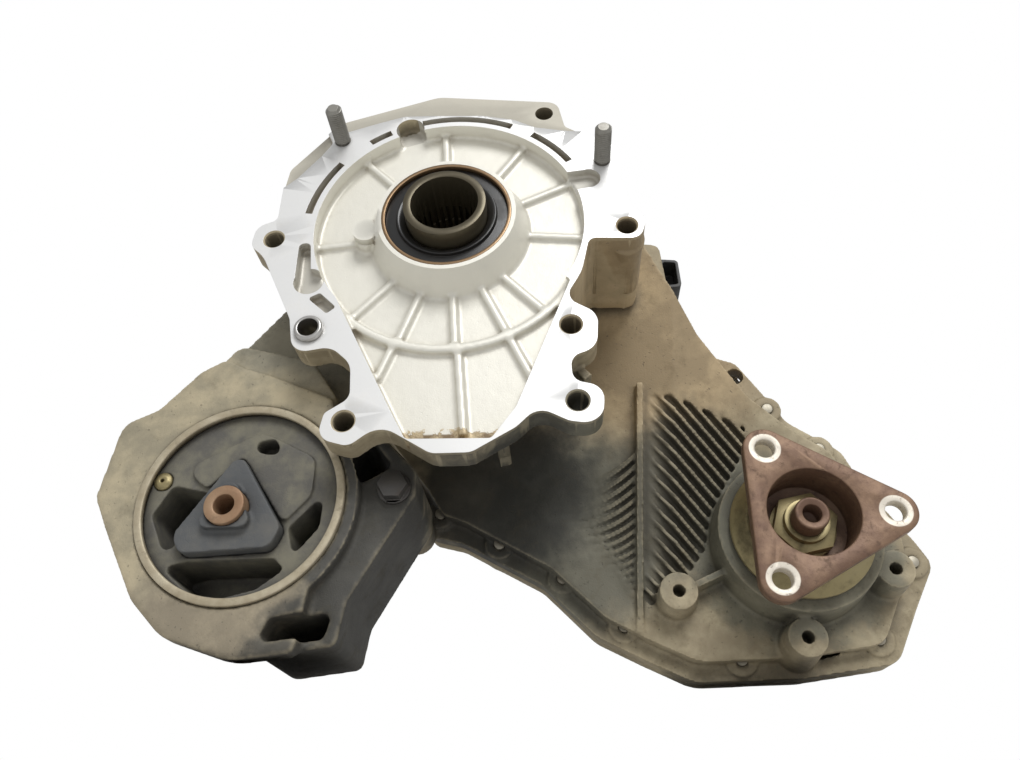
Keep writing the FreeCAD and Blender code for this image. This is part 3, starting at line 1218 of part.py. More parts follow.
def small_fittings():
    """Studs, dowel sleeve, bolts, plugs and the breather."""
    joint = D.joint_plane
    studs = []
    for index, place in enumerate(STUD_PLACES):
        shank = rod("stud_%d" % index, D.stud_diameter / 2, -D.stud_proud, -2, place)
        relief = rod("stud_relief_%d" % index, D.stud_diameter / 2 - 1, -2.5, 1, place)
        root = rod("stud_root_%d" % index, D.stud_diameter / 2, 0, 22, place)
        tip = cone("stud_tip_%d" % index, D.stud_diameter / 2 - 2, D.stud_diameter / 2,
                   -D.stud_proud - 2, -D.stud_proud, place)
        studs.append(fused("stud_whole_%d" % index, [shank, relief, root, tip]))
    finish("flange_studs", together("flange_studs", studs))
    dowel = turned("dowel_sleeve", [(float(D.dowel_bore) / 2, -4.0), (float(D.dowel_outer) / 2 - 1, -4.0),
                   (float(D.dowel_outer) / 2 - 0.02, -3.0), (float(D.dowel_outer) / 2 - 0.02, 13.0),
                   (float(D.dowel_bore) / 2, 13.0)], DOWEL_PLACE)
    finish("dowel_sleeve", dowel)
    back = joint + D.joint_flange + 4
    bolts = []
    for index, place in enumerate(CASE_BOLT_PLACES):
        shank = rod("case_shank_%d" % index, D.case_bolt / 2 - D.running_gap, main_depth - 4.5, back, place)
        washer = rod("case_washer_%d" % index, D.case_bolt * 0.95, back, back + 1.5, place)
        head = prism("case_head_%d" % index, hexagon(13), back + 1.4,
                     back + 1.4 + D.case_bolt_head, centre=place)
        bolts.append(fused("case_bolt_%d" % index, [shank, washer, head]))
    finish("case_bolts", together("case_bolts", bolts))
    cover_back = joint + D.rear_cover_depth
    for name, place in (("drain_plug", DRAIN_PLACE), ("fill_plug", FILL_PLACE)):
        plug = turned(name + "_body", [(0, float(cover_back) - 12), (8.95, float(cover_back) - 12),
                      (8.95, float(cover_back)), (13, float(cover_back)), (13, float(cover_back) + 5),
                      (0, float(cover_back) + 5)], place)
        socket = prism(name + "_socket", hexagon(10), cover_back - 2, cover_back + 6,
                       centre=place)
        finish(name, cut(name, plug, [socket]))
    vent = [document.addObject("Part::Cylinder", "breather_%d" % i) for i in range(3)]
    for item, (radius, low, high) in zip(vent, ((4, 96, 112), (7, 104, 108), (6, 110, 117))):
        item.Radius = radius
        item.Height = high - low
        item.Placement = Placement(Vector(20, float(joint) - 6, low), Rotation())
    finish("breather", cut("breather", fused("breather_whole", vent),
                           [prism("breather_seat", CASE_OUTLINE, main_depth - 1, joint)]))


# ---------------------------------------------------------------- bracket and bush

def bracket():
    """Side bracket: a plate, the barrel for the bush, a side rail and an upper arm."""
    front = D.bracket_front
    barrel_back = front + D.bush_length
    outer = D.bush_radius + D.barrel_wall
    plate = prism("bracket_plate", BRACKET_OUTLINE, front, front + D.bracket_plate)
    barrel = rod("bracket_barrel", outer, front + 1, barrel_back, BUSH)
    rail = prism("bracket_rail", RAIL_OUTLINE, front + D.bracket_plate - 2, 122)
    arm = prism("bracket_arm", ARM_OUTLINE, 66, 104)
    rise = prism("bracket_rise", [(-170, -98, 10), (-150, -70, 10), (-96, -84, 8), (-70, -124, 8),
                                  (-110, -126, 10)], front + 5, 70)
    solid = fused("bracket_solid", [plate, barrel, rail, arm, rise])
    pockets = [
        rod("bush_bore", D.bush_radius, front - 1, barrel_back + 1, BUSH),
        prism("rail_pocket_1", [(-60, -132, 4), (-36, -162, 4), (-60, -176, 8), (-68, -160, 6)],
              front + 2, 112),
        prism("rail_pocket_2", [(-36, -184, 5), (-56, -240, 5), (-78, -232, 6), (-56, -204, 6)],
              front + 30, 130),
        prism("rail_pocket_3", [(-66, -256, 4), (-70, -272, 4), (-106, -276, 4), (-100, -262, 4)],
              front - 5, 108),
        prism("arm_pocket", [(-146, -66, 8), (-122, -34, 8), (-108, -40, 6), (-104, -78, 8)],
              94, 110),
    ]
    hollowed = cut("bracket_hollowed", solid, pockets)
    bell = cone("bracket_bell_room", D.bell_front_radius + 0.3, D.bell_rear_radius + 0.3,
                D.flange_depth - 4, main_depth)
    ears = [cone("bracket_ear_room_%d" % i, 14, 12, D.flange_depth - 5,
                 D.flange_depth + 7.3, place) for i, place in enumerate([DOWEL_PLACE, (-58.6, -152.8)])]
    roof = roofed("bracket_case_room", SHELL_OUTLINE, D.case_front - 0.3, main_depth + 1, -0.3, -0.3)
    holes = [rod("bracket_hole_%d" % i, 6, 40, 130, place)
             for i, place in enumerate(BRACKET_BOLT_PLACES)]
    finish("mount_bracket", cut("mount_bracket", hollowed, [bell, roof] + ears + holes))
    bolts = []
    for index, (place, head) in enumerate(zip(BRACKET_BOLT_PLACES, (66, 47))):
        seat = head
        shank = rod("bracket_shank_%d" % index, 5.95, seat - 1, 134, place)
        cap = prism("bracket_head_%d" % index, hexagon(17), seat - 9, seat - 1, centre=place)
        collar = rod("bracket_collar_%d" % index, 11, seat - 2, seat, place)
        bolts.append(fused("bracket_bolt_%d" % index, [shank, cap, collar]))
    finish("bracket_bolts", together("bracket_bolts", bolts))


def bush():
    """Hydraulic bush: outer sleeve, rubber, triangular core and its steel sleeve."""
    front = D.bracket_front
    back = front + D.bush_length
    outer = D.bush_radius - 0.02
    inner = outer - D.bush_wall
    finish("bush_sleeve", turned("bush_sleeve", [(float(r), float(y)) for r, y in (
        (inner - 1.5, front - 2), (outer, front - 2), (outer, back), (inner, back), (inner, front + 3),
        (inner - 1.5, front + 1))], BUSH))
    disc = rod("rubber_disc", inner, front + 4, back - 6, BUSH)
    floor = back - 18
    voids = [
        prism("void_left", [(-150, -182, 2), (-176, -176, 5), (-186, -196, 5), (-172, -224, 5)],
              front, floor),
        prism("void_low", [(-172, -230, 3), (-158, -226, 4), (-104, -225, 4), (-96, -232, 3),
                           (-112, -244, 8), (-132, -249, 12), (-152, -246, 8)], front, floor),
        prism("void_right", [(-77, -184, 3), (-97, -206, 3), (-92, -224, 3), (-78, -206, 6)],
              front, floor),
        prism("void_top", [(-150, -152, 4), (-112, -146, 4), (-106, -158, 4), (-132, -154, 4)],
              front - 2, front + 16),
    ]
    core_back = back - 10
    core_body = prism("core_body", CORE_OUTLINE, D.core_front + 6, core_back)
    core_step = prism("core_step", [(-133, -170, 7), (-151, -210, 5), (-115, -210, 5)],
                      D.core_front, D.core_front + 8)
    hole = rod("core_hole", D.core_sleeve_outer / 2, D.core_front - 1, core_back + 1, CORE_PLACE)
    core_solid = fused("core_solid", [core_body, core_step])
    finish("bush_core", cut("bush_core", core_solid, [hole]))
    core_room = prism("core_room", CORE_OUTLINE, front, back)
    web = prism("rubber_web", [(-170, -166, 8), (-122, -140, 14), (-84, -160, 10), (-84, -186, 10),
                               (-100, -204, 4), (-132, -158, 3), (-152, -180, 4)], front + 1, front + 10)
    solid = fused("rubber_solid", [disc, web])
    plug_place = (-183, -173)
    plug_hole = rod("plug_hole", 6, front, front + 14, plug_place)
    finish("bush_rubber", cut("bush_rubber", solid, voids + [core_room, plug_hole]))
    sleeve_inner = D.core_hole / 2
    finish("bush_core_sleeve", tube("bush_core_sleeve", sleeve_inner, D.core_sleeve_outer / 2,
                                    D.core_front - 3, core_back + 3, CORE_PLACE))
    finish("bush_fill_plug", turned("bush_fill_plug", [(0, float(front) + 14), (6, float(front) + 14),
           (6, float(front) + 3), (3.5, float(front) + 1.5), (1.2, float(front) + 1.5),
           (1.2, float(front) + 5), (0, float(front) + 5)], plug_place))


CORE_PLACE = (-133.0, -196.5)


# ---------------------------------------------------------------- build, check and write

front_housing()
rear_housing()
input_shaft()
input_seal()
bearing("input_bearing", D.input_seat_radius, D.input_bearing_outer / 2, input_bearing_front,
        input_bearing_back, MAIN, 12)
reduction_set()
range_clutch()
differential()
drive_chain()
sprockets()
bearing("rear_bearing", D.rear_shaft_radius, D.rear_bearing_outer / 2, rear_bearing_front,
        rear_bearing_back, MAIN)
rear_output()
bearing("front_bearing", D.output_shaft_radius, D.output_bearing_outer / 2, front_bearing_front,
        front_bearing_back, OUTPUT)
bearing("tail_bearing", D.output_shaft_radius, D.rear_bearing_outer / 2, tail_bearing_front,
        tail_bearing_back, OUTPUT)
front_output()
actuator()
small_fittings()
bracket()
bush()
document.recompute()

faults = []
for item in document.Objects:
    if "Invalid" in item.State or "Error" in item.State:
        faults.append(item.Name + ": " + ", ".join(item.State))
for label, item in FINISHED.items():
    if item.Shape.isNull() or not item.Shape.isValid() or not item.Shape.Solids:
        faults.append(label + ": no valid solid")
if faults:
    raise RuntimeError("; ".join(faults))

os.makedirs("parts", exist_ok=True)
for label, item in FINISHED.items():
    item.Shape.exportStep("parts/" + label + ".step")
print(len(FINISHED), "sub-parts written")
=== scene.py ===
"""Transfer case: castings, machined pieces, rubber bush and stage, built round the packed solids."""

import json
import math

import bmesh
import bpy
from bpy.props import FloatProperty, FloatVectorProperty, IntProperty, PointerProperty
from mathutils import Matrix, Vector

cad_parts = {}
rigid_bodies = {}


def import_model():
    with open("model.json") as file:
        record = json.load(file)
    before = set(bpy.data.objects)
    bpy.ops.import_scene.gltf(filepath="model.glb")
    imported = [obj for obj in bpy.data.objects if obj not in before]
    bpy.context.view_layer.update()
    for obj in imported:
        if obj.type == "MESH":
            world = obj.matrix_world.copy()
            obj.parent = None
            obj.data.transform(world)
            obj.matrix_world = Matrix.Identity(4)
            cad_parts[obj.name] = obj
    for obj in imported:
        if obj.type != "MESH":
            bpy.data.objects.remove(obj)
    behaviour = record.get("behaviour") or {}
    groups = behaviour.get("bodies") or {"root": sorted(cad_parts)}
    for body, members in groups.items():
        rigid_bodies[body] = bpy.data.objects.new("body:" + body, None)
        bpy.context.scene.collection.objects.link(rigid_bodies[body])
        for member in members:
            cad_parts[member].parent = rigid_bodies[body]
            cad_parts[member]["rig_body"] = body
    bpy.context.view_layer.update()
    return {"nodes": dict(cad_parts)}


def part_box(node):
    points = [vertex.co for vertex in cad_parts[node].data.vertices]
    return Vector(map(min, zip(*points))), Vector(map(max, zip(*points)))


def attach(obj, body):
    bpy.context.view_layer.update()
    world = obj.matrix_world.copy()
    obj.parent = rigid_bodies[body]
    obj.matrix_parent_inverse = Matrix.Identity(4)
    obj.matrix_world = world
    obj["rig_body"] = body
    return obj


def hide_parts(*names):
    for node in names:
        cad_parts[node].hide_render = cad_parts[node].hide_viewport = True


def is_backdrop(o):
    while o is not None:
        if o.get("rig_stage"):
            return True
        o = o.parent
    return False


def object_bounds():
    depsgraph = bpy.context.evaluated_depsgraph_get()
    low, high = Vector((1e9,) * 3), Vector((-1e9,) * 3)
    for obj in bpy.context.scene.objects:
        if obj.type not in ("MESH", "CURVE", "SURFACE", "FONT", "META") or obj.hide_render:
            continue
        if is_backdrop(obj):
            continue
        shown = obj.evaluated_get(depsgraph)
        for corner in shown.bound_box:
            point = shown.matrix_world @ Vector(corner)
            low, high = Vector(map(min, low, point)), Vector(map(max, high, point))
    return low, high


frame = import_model()
NODES = frame["nodes"]

bl_info = {
    "name": "Transfer case",
    "version": (1, 0, 0),
    "blender": (4, 5, 0),
    "location": "View3D > Sidebar > Transfer case",
    "description": "Dresses a packed transfer case and builds its stage",
    "category": "Object",
}

OUTPUT_AXIS = (0.2309, -0.1941)
HOLE_CIRCLE_RADIUS = 0.0501
FIRST_HOLE_ANGLE = 118.6
RECESS_RADIUS = 0.0945
RUST_LINE = -0.1572
PIECE_TRIANGLES = 195000


# ---------------------------------------------------------------- settings

def colour_setting(name, description, value):
    """A linear colour with its default."""
    return FloatVectorProperty(name=name, description=description, default=value, size=3,
                               subtype="COLOR", min=0, max=1)


def length_setting(name, description, value):
    """A length in metres with its default."""
    return FloatProperty(name=name, description=description, default=value, min=0,
                         unit="LENGTH", precision=5)


class CastingSettings(bpy.types.PropertyGroup):
    """How the castings are softened, and their colours."""

    housing_voxel: length_setting("Housing cell", "Cell size that rounds the front housing", 0.00115)
    cover_voxel: length_setting("Cover cell", "Cell size that rounds the rear housing", 0.0017)
    bracket_voxel: length_setting("Bracket cell", "Cell size that rounds the bracket", 0.0015)
    rubber_voxel: length_setting("Rubber cell", "Cell size that rounds the bush", 0.0010)
    machined_depth: length_setting("Machined depth", "Depth of the crisp machined band", 0.0030)
    split_depth: length_setting("Split depth", "Where the bell and the chain case part", 0.0650)
    cast_colour: colour_setting("Cast", "Dusty cast aluminium", (0.33, 0.275, 0.180))
    cast_pale: colour_setting("Cast pale", "Dry dust on the casting", (0.50, 0.43, 0.29))
    # cast_dark is laid into corners found by ambient occlusion, so it is grime and painted shade
    cast_dark: colour_setting("Cast dark", "Oily grime in the corners", (0.050, 0.046, 0.037))
    clean_colour: colour_setting("Clean cast", "Clean cast aluminium of the recess", (0.80, 0.78, 0.70))
    machined_colour: colour_setting("Machined", "Machined aluminium", (0.86, 0.86, 0.85))
    bracket_colour: colour_setting("Bracket", "Stained bracket casting", (0.31, 0.275, 0.195))


class MetalSettings(bpy.types.PropertyGroup):
    """Colours of the steel pieces and of the rubber."""

    steel_colour: colour_setting("Steel", "Bright steel", (0.56, 0.55, 0.53))
    dark_colour: colour_setting("Dark steel", "Phosphated steel", (0.11, 0.105, 0.10))
    rust_colour: colour_setting("Rust", "Even brown rust", (0.150, 0.085, 0.055))
    rust_pale: colour_setting("Dry rust", "Dry orange rust", (0.34, 0.22, 0.135))
    plated_colour: colour_setting("Plated", "Yellow zinc plating", (0.36, 0.30, 0.155))
    seal_colour: colour_setting("Seal case", "Brown lacquered seal case", (0.25, 0.16, 0.085))
    rubber_colour: colour_setting("Rubber", "Weathered rubber", (0.105, 0.10, 0.088))
    rubber_dust: colour_setting("Rubber dust", "Dust on the rubber", (0.23, 0.215, 0.155))
    plastic_colour: colour_setting("Plastic", "Black plastic", (0.028, 0.028, 0.028))


class ThreadSettings(bpy.types.PropertyGroup):
    """Sizes of the threads on the studs."""

    stud_pitch: length_setting("Stud pitch", "Thread pitch of the studs", 0.00175)
    stud_depth: length_setting("Stud depth", "Thread depth of the studs", 0.0010)
    turns_round: IntProperty(name="Sides", description="Faces round a thread", default=28, min=8)


class StageSettings(bpy.types.PropertyGroup):
    """The camera, the lamps and the floor."""

    focal: FloatProperty(name="Focal length", description="Camera focal length", default=29.29,
                         unit="CAMERA")
    key_power: FloatProperty(name="Key", description="Strength of the soft sun", default=1.75, min=0)
    sky_power: FloatProperty(name="Sky", description="Strength of the even light", default=0.56, min=0)
    floor_colour: colour_setting("Floor", "Pale floor", (0.86, 0.86, 0.86))


def settings(name):
    """One of the four groups of settings."""
    return getattr(bpy.context.scene, "transfer_case_" + name)


# ---------------------------------------------------------------- shader groups

def socket(group, name, kind, default=None, output=False):
    """Add a named socket to a node group."""
    made = group.interface.new_socket(name=name, in_out="OUTPUT" if output else "INPUT",
                                      socket_type=kind)
    if default is not None:
        made.default_value = default
    return made


def start_group(name):
    """A new shader group with its input and output nodes."""
    group = bpy.data.node_groups.new(name, "ShaderNodeTree")
    return group, group.nodes.new("NodeGroupInput"), group.nodes.new("NodeGroupOutput")


def noise(tree, vector, scale, detail=4.0, rough=0.55, distort=0.0):
    """A noise texture; scale is a number or a socket."""
    node = tree.nodes.new("ShaderNodeTexNoise")
    node.inputs["Detail"].default_value = detail
    node.inputs["Roughness"].default_value = rough
    node.inputs["Distortion"].default_value = distort
    tree.links.new(vector, node.inputs["Vector"])
    if isinstance(scale, (int, float)):
        node.inputs["Scale"].default_value = scale
    else:
        tree.links.new(scale, node.inputs["Scale"])
    return node.outputs["Fac"]


def ramp(tree, value, low, high, smooth=True):
    """Map a value from the range low..high to 0..1, clamped."""
    node = tree.nodes.new("ShaderNodeMapRange")
    node.interpolation_type = "SMOOTHSTEP" if smooth else "LINEAR"
    tree.links.new(value, node.inputs["Value"])
    for name, limit in (("From Min", low), ("From Max", high)):
        if isinstance(limit, (int, float)):
            node.inputs[name].default_value = limit
        else:
            tree.links.new(limit, node.inputs[name])
    return node.outputs["Result"]


def maths(tree, operation, first, second=None):
    """A math node on sockets or numbers."""
    node = tree.nodes.new("ShaderNodeMath")
    node.operation = operation
    for index, value in enumerate((first, second)):
        if isinstance(value, (int, float)):
            node.inputs[index].default_value = value
        elif value is not None:
            tree.links.new(value, node.inputs[index])
    return node.outputs[0]


def mixed(tree, mask, first, second):
    """Mix two colours, given as sockets or plain colours, by a mask or a number."""
    node = tree.nodes.new("ShaderNodeMix")
    node.data_type = "RGBA"
    if isinstance(mask, (int, float)):
        node.inputs["Factor"].default_value = mask
    else:
        tree.links.new(mask, node.inputs["Factor"])
    for name, value in (("A", first), ("B", second)):
        place = [s for s in node.inputs if s.name == name and s.type == "RGBA"][0]
        if isinstance(value, bpy.types.NodeSocket):
            tree.links.new(value, place)
        else:
            place.default_value = (*value, 1.0)
    return [s for s in node.outputs if s.type == "RGBA"][0]


def laid_over(tree, colour, mask, strength, tone):
    """Lay a tone over a colour where a mask says, at a strength."""
    return mixed(tree, maths(tree, "MULTIPLY", mask, strength), colour, tone)


def scaled(colour, factor):
    """A colour made lighter or darker, up to white."""
    return [min(1.0, factor * channel) for channel in colour]


def build_patch_group():
    """Soft-edged blotches: large stains broken up by finer noise."""
    group, enter, leave = start_group("Stains")
    socket(group, "Vector", "NodeSocketVector")
    socket(group, "Scale", "NodeSocketFloat", 20.0)
    socket(group, "Low", "NodeSocketFloat", 0.45)
    socket(group, "High", "NodeSocketFloat", 0.65)
    socket(group, "Mask", "NodeSocketFloat", output=True)
    vector = enter.outputs["Vector"]
    large = noise(group, vector, enter.outputs["Scale"], 3.0, 0.6, 0.4)
    fine = noise(group, vector, maths(group, "MULTIPLY", enter.outputs["Scale"], 7.0), 5.0, 0.65)
    both = maths(group, "ADD", maths(group, "MULTIPLY", large, 0.72), maths(group, "MULTIPLY", fine, 0.28))
    mask = ramp(group, both, enter.outputs["Low"], enter.outputs["High"])
    group.links.new(mask, leave.inputs["Mask"])
    return group


def build_corner_group():
    """Grime and painted shade in corners, found by ambient occlusion, and wear on raised edges."""
    group, enter, leave = start_group("Corners and edges")
    socket(group, "Vector", "NodeSocketVector")
    socket(group, "Reach", "NodeSocketFloat", 0.012)
    socket(group, "Corner", "NodeSocketFloat", output=True)
    socket(group, "Edge", "NodeSocketFloat", output=True)
    shade = group.nodes.new("ShaderNodeAmbientOcclusion")
    shade.samples = 6
    group.links.new(enter.outputs["Reach"], shade.inputs["Distance"])
    broken = noise(group, enter.outputs["Vector"], 160.0, 4.0, 0.6)
    open_sky = maths(group, "ADD", shade.outputs["AO"], maths(group, "MULTIPLY", broken, 0.3))
    corner = ramp(group, open_sky, 1.08, 0.55)
    shape = group.nodes.new("ShaderNodeNewGeometry")
    raised = maths(group, "ADD", shape.outputs["Pointiness"], maths(group, "MULTIPLY", broken, 0.06))
    edge = ramp(group, raised, 0.545, 0.60)
    group.links.new(corner, leave.inputs["Corner"])
    group.links.new(edge, leave.inputs["Edge"])
    return group


def build_grain_group():
    """Height of a sand-cast skin: grain, pits and shallow waves."""
    group, enter, leave = start_group("Cast grain")
    socket(group, "Vector", "NodeSocketVector")
    socket(group, "Scale", "NodeSocketFloat", 900.0)
    socket(group, "Height", "NodeSocketFloat", output=True)
    socket(group, "Pits", "NodeSocketFloat", output=True)
    vector = enter.outputs["Vector"]
    grain = noise(group, vector, enter.outputs["Scale"], 3.0, 0.6)
    waves = noise(group, vector, maths(group, "MULTIPLY", enter.outputs["Scale"], 0.08), 3.0, 0.5)
    spots = noise(group, vector, maths(group, "MULTIPLY", enter.outputs["Scale"], 0.45), 2.0, 0.5)
    pits = ramp(group, spots, 0.66, 0.74)
    height = maths(group, "ADD", maths(group, "MULTIPLY", grain, 0.5), maths(group, "MULTIPLY", waves, 1.2))
    height = maths(group, "SUBTRACT", height, maths(group, "MULTIPLY", pits, 0.5))
    group.links.new(height, leave.inputs["Height"])
    group.links.new(pits, leave.inputs["Pits"])
    return group


def build_place_group():
    """Mask that is 1 inside a ball-shaped region and fades out past it."""
    group, enter, leave = start_group("Region")
    socket(group, "Vector", "NodeSocketVector")
    socket(group, "Centre", "NodeSocketVector", (0, 0, 0))
    socket(group, "Squash", "NodeSocketVector", (1, 1, 1))
    socket(group, "Near", "NodeSocketFloat", 0.05)
    socket(group, "Far", "NodeSocketFloat", 0.1)
    socket(group, "Mask", "NodeSocketFloat", output=True)
    away = group.nodes.new("ShaderNodeVectorMath")
    away.operation = "SUBTRACT"
    group.links.new(enter.outputs["Vector"], away.inputs[0])
    group.links.new(enter.outputs["Centre"], away.inputs[1])
    scaled = group.nodes.new("ShaderNodeVectorMath")
    scaled.operation = "MULTIPLY"
    group.links.new(away.outputs[0], scaled.inputs[0])
    group.links.new(enter.outputs["Squash"], scaled.inputs[1])
    length = group.nodes.new("ShaderNodeVectorMath")
    length.operation = "LENGTH"
    group.links.new(scaled.outputs[0], length.inputs[0])
    ragged = noise(group, enter.outputs["Vector"], 60.0, 4.0, 0.6)
    offset = maths(group, "MULTIPLY", maths(group, "SUBTRACT", ragged, 0.5), 0.035)
    reach = maths(group, "ADD", length.outputs["Value"], offset)
    group.links.new(ramp(group, reach, enter.outputs["Far"], enter.outputs["Near"]), leave.inputs["Mask"])
    return group


GROUPS = {}


def build_groups():
    """Build each shared shader group once."""
    GROUPS["stains"] = build_patch_group()
    GROUPS["corners"] = build_corner_group()
    GROUPS["grain"] = build_grain_group()
    GROUPS["region"] = build_place_group()


def use_group(tree, kind, vector, **values):
    """Place a shared group in a material with its own values."""
    node = tree.nodes.new("ShaderNodeGroup")
    node.node_tree = GROUPS[kind]
    tree.links.new(vector, node.inputs["Vector"])
    for name, value in values.items():
        node.inputs[name.replace("_", " ")].default_value = value
    return node


def stain_mask(tree, vector, scale, low, high):
    """Mask of blotches at a scale."""
    return use_group(tree, "stains", vector, Scale=scale, Low=low, High=high).outputs["Mask"]


# ---------------------------------------------------------------- materials

def start_material(name):
    """A material with its shader and the object's own coordinates."""
    made = bpy.data.materials.new(name)
    made.use_nodes = True
    tree = made.node_tree
    shader = tree.nodes["Principled BSDF"]
    vector = tree.nodes.new("ShaderNodeTexCoord").outputs["Object"]
    return made, tree, shader, vector


def add_bump(tree, shader, height, strength, distance, round_edge=0.0):
    """Bump from a height, over edges rounded by a bevel normal."""
    bump = tree.nodes.new("ShaderNodeBump")
    bump.inputs["Strength"].default_value = strength
    bump.inputs["Distance"].default_value = distance
    tree.links.new(height, bump.inputs["Height"])
    if round_edge > 0:
        bevel = tree.nodes.new("ShaderNodeBevel")
        bevel.samples = 4
        bevel.inputs["Radius"].default_value = round_edge
        tree.links.new(bevel.outputs["Normal"], bump.inputs["Normal"])
    tree.links.new(bump.outputs["Normal"], shader.inputs["Normal"])


REGIONS = {
    # stretches of the castings laid over with a tone: centre, squash, near, far, tone, strength
    # the valley and the left fins lie under the flange and face down: their dark tones are partly grime,
    # partly painted shade
    "valley": ((0.030, 0.110, -0.150), (1.0, 0.55, 1.15), 0.050, 0.090, (0.035, 0.035, 0.030), 0.92),
    "left fins": ((0.085, 0.120, -0.180), (0.9, 0.3, 1.0), 0.050, 0.085, (0.115, 0.115, 0.090), 0.85),
    "right fins": ((0.168, 0.100, -0.160), (1.0, 0.3, 0.8), 0.040, 0.062, (0.110, 0.100, 0.072), 0.90),
    "output boss": ((0.231, 0.110, -0.194), (1.0, 0.3, 1.0), 0.062, 0.078, (0.165, 0.160, 0.120), 0.85),
    "wall": ((0.150, 0.070, -0.040), (1.0, 0.5, 1.0), 0.060, 0.110, (0.33, 0.245, 0.140), 0.80),
    "bracket side": ((-0.050, 0.070, -0.205), (1.05, 0.4, 0.42), 0.030, 0.050, (0.050, 0.050, 0.047), 0.95),
    "bracket foot": ((-0.075, 0.070, -0.285), (1.0, 0.5, 1.0), 0.030, 0.048, (0.060, 0.058, 0.050), 0.90),
    "bracket arm": ((-0.115, 0.090, -0.040), (1.0, 0.5, 1.0), 0.050, 0.080, (0.190, 0.180, 0.140), 0.80),
    "bracket low": ((-0.130, 0.035, -0.275), (0.8, 0.5, 1.2), 0.035, 0.075, (0.260, 0.220, 0.160), 0.75),
}


def dusty_casting(name, base, pale, dark, regions=()):
    """Cast aluminium under road dust, with stains, grime and painted shade in corners, and worn edges."""
    made, tree, shader, vector = start_material(name)
    stains = stain_mask(tree, vector, 17.0, 0.42, 0.66)
    streaks = stain_mask(tree, vector, 55.0, 0.50, 0.72)
    marks = use_group(tree, "corners", vector, Reach=0.014)
    skin = use_group(tree, "grain", vector, Scale=900.0)
    colour = mixed(tree, stains, base, pale)
    # regional tones laid over the dust; in the valley and left fins they are partly painted shade
    for region in regions:
        centre, squash, near, far, tone, strength = REGIONS[region]
        mask = use_group(tree, "region", vector, Centre=centre, Squash=squash, Near=near, Far=far)
        dusted = mixed(tree, stains, tone, scaled(tone, 1.45))
        colour = laid_over(tree, colour, mask.outputs["Mask"], strength, dusted)
    colour = laid_over(tree, colour, streaks, 0.30, scaled(base, 0.4))
    # corners found by ambient occlusion take the dark tone: grime and painted shade
    colour = laid_over(tree, colour, marks.outputs["Corner"], 0.66, dark)
    colour = laid_over(tree, colour, skin.outputs["Pits"], 0.40, dark)
    colour = laid_over(tree, colour, marks.outputs["Edge"], 0.25, scaled(pale, 1.5))
    tree.links.new(colour, shader.inputs["Base Color"])
    shader.inputs["Metallic"].default_value = 0.15
    rough = ramp(tree, streaks, -1.5, 3.0, False)
    tree.links.new(maths(tree, "ADD", rough, 0.30), shader.inputs["Roughness"])
    add_bump(tree, shader, skin.outputs["Height"], 0.55, 0.0006)
    return made


def clean_casting(name, base, dirt_and_shade=(0.22, 0.17, 0.10), rough=0.42, rust_below=None):
    """Bright as-cast aluminium, with a few oil specks; rusty below a height where one is given."""
    made, tree, shader, vector = start_material(name)
    stains = stain_mask(tree, vector, 24.0, 0.50, 0.75)
    specks = stain_mask(tree, vector, 210.0, 0.70, 0.76)
    marks = use_group(tree, "corners", vector, Reach=0.006)
    skin = use_group(tree, "grain", vector, Scale=1300.0)
    colour = laid_over(tree, base, stains, 0.35, scaled(base, 0.80))
    # corners found by ambient occlusion take the dirt tone: grime and painted shade
    colour = laid_over(tree, colour, marks.outputs["Corner"], 0.70, dirt_and_shade)
    colour = mixed(tree, specks, colour, dirt_and_shade)
    if rust_below is not None:
        parts = tree.nodes.new("ShaderNodeSeparateXYZ")
        tree.links.new(vector, parts.inputs[0])
        flecks = stain_mask(tree, vector, 150.0, 0.40, 0.62)
        edge = maths(tree, "ADD", parts.outputs[2], maths(tree, "MULTIPLY", flecks, -0.004))
        rusty = mixed(tree, flecks, (0.20, 0.14, 0.075), (0.60, 0.49, 0.31))
        colour = mixed(tree, ramp(tree, edge, rust_below, rust_below - 0.0015), colour, rusty)
    tree.links.new(colour, shader.inputs["Base Color"])
    shader.inputs["Metallic"].default_value = 0.25
    shader.inputs["Roughness"].default_value = rough
    add_bump(tree, shader, skin.outputs["Height"], 0.35, 0.0004)
    return made


def machined_metal(name, base, rough, metal, stain=0.3, dirt_and_shade=(0.2, 0.16, 0.1)):
    """Cut metal: fine tool marks, light stains, and grime and painted shade in the corners."""
    made, tree, shader, vector = start_material(name)
    stains = stain_mask(tree, vector, 38.0, 0.48, 0.72)
    marks = use_group(tree, "corners", vector, Reach=0.004)
    colour = laid_over(tree, base, stains, stain, dirt_and_shade)
    # corners found by ambient occlusion are darkened: grime and painted shade
    colour = laid_over(tree, colour, marks.outputs["Corner"], 0.5, scaled(dirt_and_shade, 0.45))
    tree.links.new(colour, shader.inputs["Base Color"])
    shader.inputs["Metallic"].default_value = metal
    tree.links.new(maths(tree, "ADD", maths(tree, "MULTIPLY", stains, 0.18), rough),
                   shader.inputs["Roughness"])
    height = noise(tree, vector, 700.0, 3.0, 0.6)
    add_bump(tree, shader, height, 0.22, 0.00012, 0.0004)
    return made


